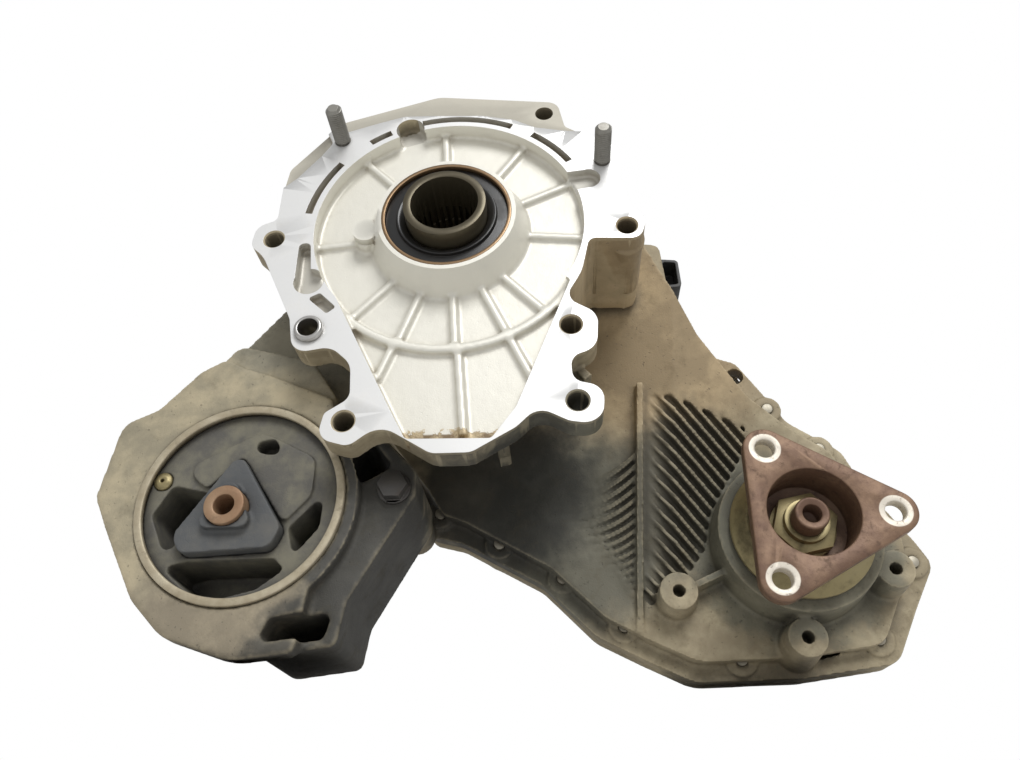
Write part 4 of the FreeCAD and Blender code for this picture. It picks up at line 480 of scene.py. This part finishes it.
def rusty_steel(name, base, pale, dark, bright_rings=()):
    """Brown rusted steel; narrow rings round the listed (x, z) points are rubbed bright."""
    made, tree, shader, vector = start_material(name)
    stains = stain_mask(tree, vector, 30.0, 0.42, 0.68)
    flecks = stain_mask(tree, vector, 170.0, 0.52, 0.68)
    marks = use_group(tree, "corners", vector, Reach=0.008)
    skin = use_group(tree, "grain", vector, Scale=1500.0)
    colour = laid_over(tree, base, stains, 0.6, pale)
    colour = laid_over(tree, colour, flecks, 0.45, dark)
    # corners found by ambient occlusion take the dark tone: grime and painted shade
    colour = laid_over(tree, colour, marks.outputs["Corner"], 0.6, dark)
    colour = laid_over(tree, colour, marks.outputs["Edge"], 0.5, pale)
    parts = tree.nodes.new("ShaderNodeSeparateXYZ")
    tree.links.new(vector, parts.inputs[0])
    for x, z in bright_rings:
        across = maths(tree, "SUBTRACT", parts.outputs[0], x)
        rise = maths(tree, "SUBTRACT", parts.outputs[2], z)
        away = maths(tree, "SQRT", maths(tree, "ADD", maths(tree, "MULTIPLY", across, across),
                                         maths(tree, "MULTIPLY", rise, rise)))
        ring = maths(tree, "MULTIPLY", ramp(tree, away, 0.0107, 0.0099), ramp(tree, flecks, 1.6, 0.2))
        colour = mixed(tree, ring, colour, (0.78, 0.72, 0.62))
    tree.links.new(colour, shader.inputs["Base Color"])
    shader.inputs["Metallic"].default_value = 0.35
    tree.links.new(maths(tree, "ADD", maths(tree, "MULTIPLY", flecks, 0.2), 0.48), shader.inputs["Roughness"])
    add_bump(tree, shader, skin.outputs["Height"], 0.45, 0.0004, 0.0008)
    return made


def weathered_rubber(name, base, dust):
    """Rubber with dust on it and fine cracks."""
    made, tree, shader, vector = start_material(name)
    stains = stain_mask(tree, vector, 26.0, 0.40, 0.66)
    marks = use_group(tree, "corners", vector, Reach=0.012)
    cracks = tree.nodes.new("ShaderNodeTexVoronoi")
    cracks.feature = "DISTANCE_TO_EDGE"
    cracks.inputs["Scale"].default_value = 240.0
    tree.links.new(vector, cracks.inputs["Vector"])
    colour = laid_over(tree, base, stains, 0.75, dust)
    # corners found by ambient occlusion are darkened: grime and painted shade
    colour = laid_over(tree, colour, marks.outputs["Corner"], 0.8, scaled(base, 0.3))
    tree.links.new(colour, shader.inputs["Base Color"])
    tree.links.new(maths(tree, "ADD", maths(tree, "MULTIPLY", stains, 0.15), 0.62),
                   shader.inputs["Roughness"])
    height = maths(tree, "ADD", ramp(tree, cracks.outputs["Distance"], 0.0, 0.08),
                   noise(tree, vector, 900.0, 3.0, 0.6))
    add_bump(tree, shader, height, 0.25, 0.00025)
    return made


def moulded_plastic(name, base):
    """Black moulded plastic with a fine skin and a little dust."""
    made, tree, shader, vector = start_material(name)
    stains = stain_mask(tree, vector, 40.0, 0.45, 0.75)
    colour = laid_over(tree, base, stains, 0.4, (0.10, 0.095, 0.08))
    tree.links.new(colour, shader.inputs["Base Color"])
    shader.inputs["Roughness"].default_value = 0.5
    add_bump(tree, shader, noise(tree, vector, 1600.0, 2.0, 0.5), 0.2, 0.0001, 0.0008)
    return made


MATERIALS = {}


def flange_holes():
    """Centres (x, z) of the output flange's three holes."""
    turns = [math.radians(FIRST_HOLE_ANGLE - 120 * index) for index in range(3)]
    return [(OUTPUT_AXIS[0] + HOLE_CIRCLE_RADIUS * math.cos(turn),
             OUTPUT_AXIS[1] + HOLE_CIRCLE_RADIUS * math.sin(turn)) for turn in turns]


def build_materials():
    """Every finish of the transfer case, by name."""
    cast = settings("casting")
    metal = settings("metal")
    base = tuple(cast.cast_colour)
    pale = tuple(cast.cast_pale)
    dark = tuple(cast.cast_dark)
    steel = tuple(metal.steel_colour)
    made = MATERIALS
    made["case"] = dusty_casting("Dusty casting", base, pale, dark,
                                 ("wall", "left fins", "right fins", "output boss", "valley"))
    made["cover"] = dusty_casting("Dusty cover", base, pale, dark)
    made["bracket"] = dusty_casting("Bracket casting", tuple(cast.bracket_colour), pale, dark,
                                    ("bracket arm", "bracket low", "bracket side", "bracket foot"))
    made["rim"] = clean_casting("Cast rim", (0.56, 0.53, 0.45), (0.20, 0.17, 0.12), 0.6)
    made["recess"] = clean_casting("Clean casting", tuple(cast.clean_colour), rust_below=RUST_LINE)
    # pocket floors are the clean casting painted darker: painted shade in the slots and notches
    made["pocket"] = clean_casting("Pocket floor", (0.60, 0.58, 0.52))
    made["face"] = machined_metal("Machined face", tuple(cast.machined_colour), 0.34, 0.30, stain=0.25,
                                  dirt_and_shade=(0.55, 0.51, 0.44))
    made["sleeve"] = machined_metal("Input sleeve", (0.10, 0.085, 0.055), 0.30, 0.6, stain=0.5,
                                    dirt_and_shade=(0.03, 0.025, 0.015))
    made["stud"] = machined_metal("Stud steel", (0.30, 0.29, 0.26), 0.38, 0.6, stain=0.4,
                                  dirt_and_shade=(0.12, 0.10, 0.07))
    made["steel"] = machined_metal("Steel", steel, 0.30, 1.0)
    made["gear"] = machined_metal("Gear steel", steel, 0.25, 1.0, stain=0.15)
    made["dark"] = machined_metal("Dark steel", tuple(metal.dark_colour), 0.42, 0.7, dirt_and_shade=(0.12, 0.08, 0.05))
    made["bolt"] = machined_metal("Bolt steel", (0.40, 0.37, 0.30), 0.45, 0.6, stain=0.5)
    made["seal_case"] = machined_metal("Seal case", tuple(metal.seal_colour), 0.30, 0.6, stain=0.3,
                                       dirt_and_shade=(0.08, 0.05, 0.02))
    made["seal"] = machined_metal("Seal rubber", (0.02, 0.02, 0.02), 0.28, 0.0, dirt_and_shade=(0.05, 0.04, 0.03))
    rust = tuple(metal.rust_colour)
    made["rust"] = rusty_steel("Rusty steel", rust, tuple(metal.rust_pale), (0.07, 0.045, 0.035))
    made["flange"] = rusty_steel("Rusty flange", rust, tuple(metal.rust_pale), (0.07, 0.045, 0.035),
                                 flange_holes())
    made["worn"] = rusty_steel("Worn ring", (0.36, 0.30, 0.20), (0.62, 0.56, 0.42), (0.13, 0.10, 0.07))
    made["sleeve_rust"] = rusty_steel("Rusty sleeve", (0.26, 0.14, 0.075), (0.42, 0.29, 0.18),
                                      (0.09, 0.055, 0.04))
    made["plated"] = machined_metal("Plated steel", tuple(metal.plated_colour), 0.40, 0.6, stain=0.85,
                                    dirt_and_shade=(0.12, 0.10, 0.055))
    made["rubber"] = weathered_rubber("Rubber", tuple(metal.rubber_colour), tuple(metal.rubber_dust))
    made["core"] = weathered_rubber("Coated core", (0.085, 0.09, 0.094), (0.15, 0.145, 0.13))
    made["plastic"] = moulded_plastic("Plastic", tuple(metal.plastic_colour))


# ---------------------------------------------------------------- mesh helpers

def new_piece(name, mesh, material=None):
    """Link a mesh as an object at the origin."""
    made = bpy.data.objects.new(name, mesh)
    bpy.context.scene.collection.objects.link(made)
    if material is not None:
        mesh.materials.clear()
        mesh.materials.append(MATERIALS[material])
    return made


def welded_copy(node):
    """The node's solid as one welded bmesh."""
    work = bmesh.new()
    work.from_mesh(NODES[node].data)
    bmesh.ops.remove_doubles(work, verts=work.verts, dist=2e-6)
    return work


def make_plain(piece):
    """Turn what the modifiers give into the piece's own mesh."""
    graph = bpy.context.evaluated_depsgraph_get()
    graph.update()
    mesh = bpy.data.meshes.new_from_object(piece.evaluated_get(graph))
    piece.modifiers.clear()
    piece.data = mesh
    return mesh


def soften_mesh(name, work, voxel, passes, budget):
    """Round a solid's edges and inner corners as a casting's are."""
    mesh = bpy.data.meshes.new(name)
    work.to_mesh(mesh)
    work.free()
    piece = new_piece(name, mesh)
    remesh = piece.modifiers.new("cells", "REMESH")
    remesh.mode = "VOXEL"
    remesh.voxel_size = voxel
    relax = piece.modifiers.new("relax", "SMOOTH")
    relax.factor = 0.5
    relax.iterations = passes
    make_plain(piece)
    triangles = 2 * len(piece.data.polygons)
    if triangles > budget:
        thin = piece.modifiers.new("thin", "DECIMATE")
        thin.ratio = budget / triangles
        make_plain(piece)
    return piece


def dress_soft(node, name, voxel, passes, budget, material):
    """A casting or rubber piece: the node's own solid with rounded edges."""
    soft = soften_mesh(name, welded_copy(node), voxel, passes, budget)
    soft.data.materials.append(MATERIALS[material])
    smooth_by_angle(soft, 60)
    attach(soft, "case")
    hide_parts(node)


def cut_away(work, y, keep_front):
    """Keep one side of a plane across the shafts, and close the cut."""
    geometry = work.verts[:] + work.edges[:] + work.faces[:]
    made = bmesh.ops.bisect_plane(work, geom=geometry, plane_co=(0, y, 0), plane_no=(0, 1, 0),
                                  clear_outer=keep_front, clear_inner=not keep_front)
    rim = [item for item in made["geom_cut"] if isinstance(item, bmesh.types.BMEdge)]
    bmesh.ops.triangle_fill(work, edges=rim, use_beauty=True)


def smooth_by_angle(piece, degrees=35):
    """Shade smooth, with edges over an angle kept sharp."""
    mesh = piece.data
    for face in mesh.polygons:
        face.use_smooth = True
    mesh.set_sharp_from_angle(angle=math.radians(degrees))


def dress(node, material, bevel=0.0):
    """A machined piece: the node's own solid, with broken edges and smooth round faces."""
    work = welded_copy(node)
    bmesh.ops.dissolve_limit(work, angle_limit=math.radians(0.4), verts=work.verts, edges=work.edges,
                             delimit={"NORMAL"})
    mesh = bpy.data.meshes.new(node + "_piece")
    work.to_mesh(mesh)
    work.free()
    piece = new_piece(node + "_piece", mesh, material)
    if bevel > 0:
        edge = piece.modifiers.new("edges", "BEVEL")
        edge.width = bevel
        edge.segments = 2
        edge.limit_method = "ANGLE"
        edge.angle_limit = math.radians(40)
        edge.harden_normals = False
    even = piece.modifiers.new("triangles", "TRIANGULATE")
    even.min_vertices = 5
    make_plain(piece)
    smooth_by_angle(piece)
    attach(piece, NODES[node]["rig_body"])
    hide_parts(node)


# ---------------------------------------------------------------- castings

# outline (x, z) of the recess below the bore
LOW_RECESS = [(-0.078, -0.050), (-0.030, -0.147), (-0.020, -0.167), (0.032, -0.168), (0.047, -0.146),
              (0.084, -0.050)]


def inside_outline(x, z, outline):
    """Whether a point lies inside a closed outline."""
    inside = False
    for (x1, z1), (x2, z2) in zip(outline, outline[1:] + outline[:1]):
        if (z1 > z) != (z2 > z) and x < (x2 - x1) * (z - z1) / (z2 - z1) + x1:
            inside = not inside
    return inside


def in_recess(point, grow=0.0006):
    """Whether a point of the flange lies in the recess, whose round part may be grown a little."""
    if math.hypot(point.x, point.z) < RECESS_RADIUS + grow:
        return True
    return inside_outline(point.x, point.z, LOW_RECESS)


# boxes round the notches of the flange face: low x, low z, high x, high z
POCKETS = ((-0.106, -0.0575, -0.081, -0.0095), (-0.095, -0.075, -0.070, -0.054), (0.078, 0.024, 0.110, 0.046))


def in_pocket(point):
    """Whether a point lies in one of the slots and notches of the flange face."""
    slot_radius = 0.1055
    slot_low_end = 0.006
    if math.hypot(point.x, point.z) < slot_radius and point.z > slot_low_end:
        return True
    return any(x1 < point.x < x2 and z1 < point.z < z2 for x1, z1, x2, z2 in POCKETS)


def front_finish(middle, normal):
    """The finish of a face of the front housing, by where it lies."""
    rim = 0.0025
    floor = 0.0128
    close = 0.0004
    faces_front = normal.y < -0.9
    if middle.y > floor:
        return "case"
    if middle.y < close and faces_front and not in_recess(middle, -0.0002):
        return "face"
    if in_recess(middle):
        return "recess"
    if in_pocket(middle):
        return "pocket"
    if abs(middle.y - rim) < close and faces_front:
        return "rim"
    return "case"


def paint_front_housing(piece):
    """Give each face the machined, clean or dusty finish."""
    mesh = piece.data
    mesh.materials.clear()
    finishes = ("case", "recess", "face", "rim", "pocket")
    for material in finishes:
        mesh.materials.append(MATERIALS[material])
    for face in mesh.polygons:
        face.material_index = finishes.index(front_finish(face.center, face.normal))


def half_of(source, name, y, keep_front, extra=None):
    """A closed piece of a mesh on one side of a plane, with another closed mesh added to it."""
    work = bmesh.new()
    work.from_mesh(source)
    cut_away(work, y, keep_front)
    if extra is not None:
        overlap = 0.0002
        cut_away(work, settings("casting").machined_depth - overlap, False)
        work.from_mesh(extra)
    bmesh.ops.triangulate(work, faces=[f for f in work.faces if len(f.verts) > 4])
    mesh = bpy.data.meshes.new(name)
    work.to_mesh(mesh)
    work.free()
    piece = new_piece(name, mesh)
    triangles = sum(len(face.vertices) - 2 for face in mesh.polygons)
    if triangles > PIECE_TRIANGLES:
        thin = piece.modifiers.new("thin", "DECIMATE")
        thin.ratio = PIECE_TRIANGLES / triangles
        make_plain(piece)
    smooth_by_angle(piece, 32)
    paint_front_housing(piece)
    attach(piece, "case")
    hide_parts("front_housing")


class TRANSFERCASE_OT_front_housing(bpy.types.Operator):
    """Front housing: crisp machined band in front, softened casting behind"""

    bl_idname = "transfercase.front_housing"
    bl_label = "Front housing"

    def execute(self, context):
        cast = settings("casting")
        soft = soften_mesh("front_housing_soft", welded_copy("front_housing"), cast.housing_voxel,
                           passes=2, budget=380000)
        crisp = welded_copy("front_housing")
        cut_away(crisp, cast.machined_depth, True)
        band = bpy.data.meshes.new("machined_band")
        crisp.to_mesh(band)
        crisp.free()
        half_of(soft.data, "front_housing_bell", cast.split_depth, True, band)
        half_of(soft.data, "front_housing_chain_case", cast.split_depth, False)
        bpy.data.objects.remove(soft)
        return {"FINISHED"}


class TRANSFERCASE_OT_rear_housing(bpy.types.Operator):
    """Rear housing: softened casting"""

    bl_idname = "transfercase.rear_housing"
    bl_label = "Rear housing"

    def execute(self, context):
        dress_soft("rear_housing", "rear_housing_casting", settings("casting").cover_voxel,
                   passes=3, budget=120000, material="cover")
        return {"FINISHED"}


class TRANSFERCASE_OT_bracket(bpy.types.Operator):
    """Side bracket: softened casting"""

    bl_idname = "transfercase.bracket"
    bl_label = "Side bracket"

    def execute(self, context):
        dress_soft("mount_bracket", "mount_bracket_casting", settings("casting").bracket_voxel,
                   passes=4, budget=150000, material="bracket")
        return {"FINISHED"}


class TRANSFERCASE_OT_bush(bpy.types.Operator):
    """Rubber bush with its rings, core and plug"""

    bl_idname = "transfercase.bush"
    bl_label = "Rubber bush"

    def execute(self, context):
        cell = settings("casting").rubber_voxel
        for node, material in (("bush_rubber", "rubber"), ("bush_core", "core")):
            dress_soft(node, node + "_soft", cell, passes=5, budget=60000, material=material)
        dress("bush_sleeve", "worn", 0.0008)
        dress("bush_core_sleeve", "sleeve_rust", 0.0006)
        dress("bush_fill_plug", "plated", 0.0005)
        return {"FINISHED"}


# ---------------------------------------------------------------- machined pieces

# node, finish and width of the broken edges
DRESSED = (
    ("output_flange", "flange", 0.0009), ("flange_nut", "plated", 0.0006),
    ("front_output_shaft", "rust", 0.0005), ("dust_deflector", "plated", 0.0003),
    ("front_output_seal", "seal", 0.0003), ("input_seal_case", "seal_case", 0.0004),
    ("input_seal_lip", "seal", 0.0004), ("input_shaft", "sleeve", 0.0003),
    ("dowel_sleeve", "steel", 0.0003), ("case_bolts", "bolt", 0.0004),
    ("bracket_bolts", "dark", 0.0005), ("drain_plug", "bolt", 0.0005), ("fill_plug", "bolt", 0.0005),
    ("breather", "plated", 0.0005), ("rear_output_flange", "rust", 0.0007),
    ("rear_flange_nut", "plated", 0.0005), ("rear_output_shaft", "steel", 0.0003),
    ("rear_output_seal", "seal", 0.0003), ("actuator_motor", "dark", 0.0008),
    ("actuator_cover", "plastic", 0.0012), ("actuator_connector", "plastic", 0.0008),
)
HIDDEN_INSIDE = (
    ("drive_chain", "dark"), ("shift_fork", "dark"), ("shift_rail", "steel"), ("shift_sleeve", "gear"),
    ("drive_sprocket", "gear"), ("driven_sprocket", "gear"), ("reduction_ring_gear", "gear"),
    ("reduction_carrier", "gear"), ("reduction_planet_pins", "steel"), ("differential_case", "gear"),
    ("differential_cover", "gear"), ("differential_planets", "gear"), ("differential_pins", "steel"),
    ("differential_ring_gear", "gear"),
)


class TRANSFERCASE_OT_machined(bpy.types.Operator):
    """Machined pieces that show, with their edges broken"""

    bl_idname = "transfercase.machined"
    bl_label = "Machined pieces"

    def execute(self, context):
        for node, material, bevel in DRESSED:
            dress(node, material, bevel)
        return {"FINISHED"}


class TRANSFERCASE_OT_inside(bpy.types.Operator):
    """Finishes of the gears, bearings and chain inside"""

    bl_idname = "transfercase.inside"
    bl_label = "Inside pieces"

    def execute(self, context):
        listed = list(HIDDEN_INSIDE)
        for node in NODES:
            if "bearing" in node:
                listed.append((node, "steel"))
            if node.startswith("reduction_planet_") and node != "reduction_planet_pins":
                listed.append((node, "gear"))
        for node, material in listed:
            mesh = NODES[node].data
            mesh.materials.clear()
            mesh.materials.append(MATERIALS[material])
        return {"FINISHED"}


# ---------------------------------------------------------------- threads

def build_thread_tree():
    """Geometry nodes for a threaded rod along Y: a tube whose wall follows a helix."""
    tree = bpy.data.node_groups.new("Threaded rod", "GeometryNodeTree")
    sockets = {}
    for name, kind, value in (("Radius", "NodeSocketFloat", 0.006), ("Length", "NodeSocketFloat", 0.03),
                              ("Pitch", "NodeSocketFloat", 0.00175), ("Depth", "NodeSocketFloat", 0.001),
                              ("Sides", "NodeSocketInt", 28), ("Rows", "NodeSocketInt", 120)):
        made = tree.interface.new_socket(name=name, in_out="INPUT", socket_type=kind)
        made.default_value = value
        sockets[name] = made.identifier
    material = tree.interface.new_socket(name="Material", in_out="INPUT",
                                         socket_type="NodeSocketMaterial")
    sockets["Material"] = material.identifier
    tree.interface.new_socket(name="Geometry", in_out="OUTPUT", socket_type="NodeSocketGeometry")
    enter = tree.nodes.new("NodeGroupInput")
    leave = tree.nodes.new("NodeGroupOutput")
    link = tree.links.new
    tube = tree.nodes.new("GeometryNodeMeshCylinder")
    tube.fill_type = "NGON"
    link(enter.outputs["Sides"], tube.inputs["Vertices"])
    link(enter.outputs["Rows"], tube.inputs["Side Segments"])
    link(enter.outputs["Radius"], tube.inputs["Radius"])
    link(enter.outputs["Length"], tube.inputs["Depth"])
    place = tree.nodes.new("GeometryNodeInputPosition")
    parts = tree.nodes.new("ShaderNodeSeparateXYZ")
    link(place.outputs[0], parts.inputs[0])

    turn = maths(tree, "DIVIDE", maths(tree, "ARCTAN2", parts.outputs[1], parts.outputs[0]), 2 * math.pi)
    phase = maths(tree, "ADD", maths(tree, "DIVIDE", parts.outputs[2], enter.outputs["Pitch"]), turn)
    wave = maths(tree, "PINGPONG", phase, 0.5)
    deep = maths(tree, "MULTIPLY", maths(tree, "MULTIPLY", wave, 2.0), enter.outputs["Depth"])
    share = maths(tree, "SUBTRACT", 1.0, maths(tree, "DIVIDE", deep, enter.outputs["Radius"]))
    flat = tree.nodes.new("ShaderNodeCombineXYZ")
    link(maths(tree, "MULTIPLY", parts.outputs[0], share), flat.inputs[0])
    link(maths(tree, "MULTIPLY", parts.outputs[1], share), flat.inputs[1])
    link(parts.outputs[2], flat.inputs[2])
    move = tree.nodes.new("GeometryNodeSetPosition")
    link(tube.outputs["Mesh"], move.inputs["Geometry"])
    link(flat.outputs[0], move.inputs["Position"])
    realize = tree.nodes.new("GeometryNodeRealizeInstances")
    link(move.outputs["Geometry"], realize.inputs["Geometry"])
    paint = tree.nodes.new("GeometryNodeSetMaterial")
    link(realize.outputs["Geometry"], paint.inputs["Geometry"])
    link(enter.outputs["Material"], paint.inputs["Material"])
    link(paint.outputs["Geometry"], leave.inputs["Geometry"])
    return tree, sockets


def add_rod(work, sides, base, tip, length, middle):
    """Add a capped rod along Y, with its base and tip radius, centred on a point."""
    made = bmesh.ops.create_cone(work, cap_ends=True, segments=sides, radius1=base, radius2=tip,
                                 depth=length)
    turn = Matrix.Translation(middle) @ Matrix.Rotation(math.radians(90), 4, "X")
    bmesh.ops.transform(work, matrix=turn, verts=made["verts"])


def threaded_mesh(tree, sockets, values, middle):
    """One threaded rod as a plain mesh, along Y, centred on a point."""
    holder = new_piece("thread_holder", bpy.data.meshes.new("thread_holder"))
    modifier = holder.modifiers.new("thread", "NODES")
    modifier.node_group = tree
    for name, value in values.items():
        modifier[sockets[name]] = value
    mesh = make_plain(holder)
    mesh.transform(Matrix.Translation(middle) @ Matrix.Rotation(math.radians(-90), 4, "X"))
    bpy.data.objects.remove(holder)
    return mesh


class TRANSFERCASE_OT_studs(bpy.types.Operator):
    """Threaded studs of the gearbox flange"""

    bl_idname = "transfercase.studs"
    bl_label = "Flange studs"

    def execute(self, context):
        thread = settings("thread")
        sides = thread.turns_round
        tree, sockets = build_thread_tree()
        low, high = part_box("flange_studs")
        radius = 0.006
        relief = 0.002
        chamfer = 0.0022
        length = -low.y - relief - chamfer
        tip_radius = radius - thread.stud_depth * 0.4
        neck_radius = radius - 0.001
        values = {"Radius": radius, "Length": length, "Pitch": thread.stud_pitch,
                  "Depth": thread.stud_depth, "Sides": sides,
                  "Rows": int(length / thread.stud_pitch * 8), "Material": MATERIALS["stud"]}
        work = bmesh.new()
        for x, z in ((low.x + radius, high.z - radius), (high.x - radius, low.z + radius)):
            mesh = threaded_mesh(tree, sockets, values, Vector((x, -relief - length / 2, z)))
            work.from_mesh(mesh)
            add_rod(work, sides, tip_radius, radius - chamfer, 0.0025, (x, -relief - length - 0.0008, z))
            add_rod(work, sides, radius, radius, 0.0215, (x, 0.0108, z))
            add_rod(work, sides, neck_radius, neck_radius, 0.004, (x, -0.001, z))
        mesh = bpy.data.meshes.new("flange_studs_threaded")
        work.to_mesh(mesh)
        work.free()
        piece = new_piece("flange_studs_threaded", mesh, "stud")
        for face in piece.data.polygons:
            face.material_index = 0
        smooth_by_angle(piece, 25)
        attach(piece, "case")
        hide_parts("flange_studs")
        return {"FINISHED"}


# ---------------------------------------------------------------- stage

def build_floor_material(colour):
    """Pale floor, see-through from below and to shadow rays."""
    made = bpy.data.materials.new("Pale floor")
    made.use_nodes = True
    tree = made.node_tree
    shader = tree.nodes["Principled BSDF"]
    shader.inputs["Base Color"].default_value = (*colour, 1)
    shader.inputs["Roughness"].default_value = 0.8
    clear = tree.nodes.new("ShaderNodeBsdfTransparent")
    side = tree.nodes.new("ShaderNodeNewGeometry").outputs["Backfacing"]
    ray = tree.nodes.new("ShaderNodeLightPath").outputs["Is Shadow Ray"]
    either = maths(tree, "MAXIMUM", side, ray)
    mix = tree.nodes.new("ShaderNodeMixShader")
    tree.links.new(either, mix.inputs[0])
    tree.links.new(shader.outputs[0], mix.inputs[1])
    tree.links.new(clear.outputs[0], mix.inputs[2])
    tree.links.new(mix.outputs[0], tree.nodes["Material Output"].inputs["Surface"])
    return made


def build_world(power):
    """Even light, with a white background to the camera and through clear things."""
    world = bpy.data.worlds.new("Studio")
    bpy.context.scene.world = world
    world.use_nodes = True
    tree = world.node_tree
    tree.nodes.clear()
    rays = tree.nodes.new("ShaderNodeLightPath")
    seen = maths(tree, "MAXIMUM", rays.outputs["Is Camera Ray"], rays.outputs["Is Transmission Ray"])
    even = tree.nodes.new("ShaderNodeBackground")
    even.inputs["Strength"].default_value = power
    white = tree.nodes.new("ShaderNodeBackground")
    white.inputs["Color"].default_value = (1, 1, 1, 1)
    mix = tree.nodes.new("ShaderNodeMixShader")
    tree.links.new(seen, mix.inputs[0])
    tree.links.new(even.outputs[0], mix.inputs[1])
    tree.links.new(white.outputs[0], mix.inputs[2])
    leave = tree.nodes.new("ShaderNodeOutputWorld")
    tree.links.new(mix.outputs[0], leave.inputs["Surface"])


def place_camera(scene, focal):
    """Camera below and in front of the unit."""
    camera = bpy.data.objects.new("Camera", bpy.data.cameras.new("Camera"))
    scene.collection.objects.link(camera)
    camera.data.lens = focal
    camera.data.sensor_width = 36
    azimuth = math.radians(3.5848)
    elevation = math.radians(-29.9232)
    ahead = Vector((-math.sin(azimuth) * math.cos(elevation), math.cos(azimuth) * math.cos(elevation),
                    -math.sin(elevation)))
    camera.location = (0.070936, -0.442751, -0.383045)
    camera.rotation_mode = "QUATERNION"
    camera.rotation_quaternion = ahead.to_track_quat("-Z", "Y")
    camera.data.clip_start = 0.01
    scene.camera = camera


def place_key(scene, power):
    """Broad soft sun from above, in front and to the right."""
    sun = bpy.data.lights.new("Key", "SUN")
    sun.energy = power
    sun.angle = math.radians(28)
    key = bpy.data.objects.new("Key", sun)
    scene.collection.objects.link(key)
    key.rotation_mode = "QUATERNION"
    key.rotation_quaternion = Vector((-0.25, 0.80, -0.62)).to_track_quat("-Z", "Y")


def lay_floor(colour):
    """Square floor just below the unit."""
    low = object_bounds()[0]
    reach = 3.0
    gap = 0.0005
    mesh = bpy.data.meshes.new("floor")
    floor = bmesh.new()
    corners = [floor.verts.new((x, y, low.z - gap)) for x, y in
               ((-reach, -reach), (reach, -reach), (reach, reach), (-reach, reach))]
    floor.faces.new(corners)
    floor.to_mesh(mesh)
    floor.free()
    plate = new_piece("floor", mesh)
    mesh.materials.append(build_floor_material(colour))
    plate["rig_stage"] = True


class TRANSFERCASE_OT_stage(bpy.types.Operator):
    """Camera, lamps, floor and white background"""

    bl_idname = "transfercase.stage"
    bl_label = "Stage"

    def execute(self, context):
        stage = settings("stage")
        scene = context.scene
        place_camera(scene, stage.focal)
        scene.view_settings.view_transform = "Standard"
        build_world(stage.sky_power)
        place_key(scene, stage.key_power)
        lay_floor(tuple(stage.floor_colour))
        return {"FINISHED"}


class TRANSFERCASE_PT_panel(bpy.types.Panel):
    """Lists the operators and settings of the transfer case"""

    bl_idname = "TRANSFERCASE_PT_panel"
    bl_label = "Transfer case"
    bl_space_type = "VIEW_3D"
    bl_region_type = "UI"
    bl_category = "Transfer case"

    def draw(self, context):
        for operator in OPERATORS:
            self.layout.operator(operator.bl_idname)
        for name, group in GROUPS_OF_SETTINGS:
            box = self.layout.box()
            box.label(text=group.__doc__)
            for field in group.__annotations__:
                box.prop(settings(name), field)


OPERATORS = (
    TRANSFERCASE_OT_front_housing, TRANSFERCASE_OT_rear_housing, TRANSFERCASE_OT_bracket,
    TRANSFERCASE_OT_bush, TRANSFERCASE_OT_machined, TRANSFERCASE_OT_inside, TRANSFERCASE_OT_studs,
    TRANSFERCASE_OT_stage,
)
GROUPS_OF_SETTINGS = (("casting", CastingSettings), ("metal", MetalSettings),
                      ("thread", ThreadSettings), ("stage", StageSettings))


def register():
    """Register the settings, operators and panel."""
    for name, group in GROUPS_OF_SETTINGS:
        bpy.utils.register_class(group)
        setattr(bpy.types.Scene, "transfer_case_" + name, PointerProperty(type=group))
    for item in OPERATORS + (TRANSFERCASE_PT_panel,):
        bpy.utils.register_class(item)


def unregister():
    """Undo register."""
    for item in (TRANSFERCASE_PT_panel,) + OPERATORS[::-1]:
        bpy.utils.unregister_class(item)
    for name, group in GROUPS_OF_SETTINGS[::-1]:
        delattr(bpy.types.Scene, "transfer_case_" + name)
        bpy.utils.unregister_class(group)


def main():
    """Build everything in order."""
    register()
    build_groups()
    build_materials()
    for operator in OPERATORS:
        section, label = operator.bl_idname.split(".")
        getattr(getattr(bpy.ops, section), label)()


if __name__ == "__main__":
    main()
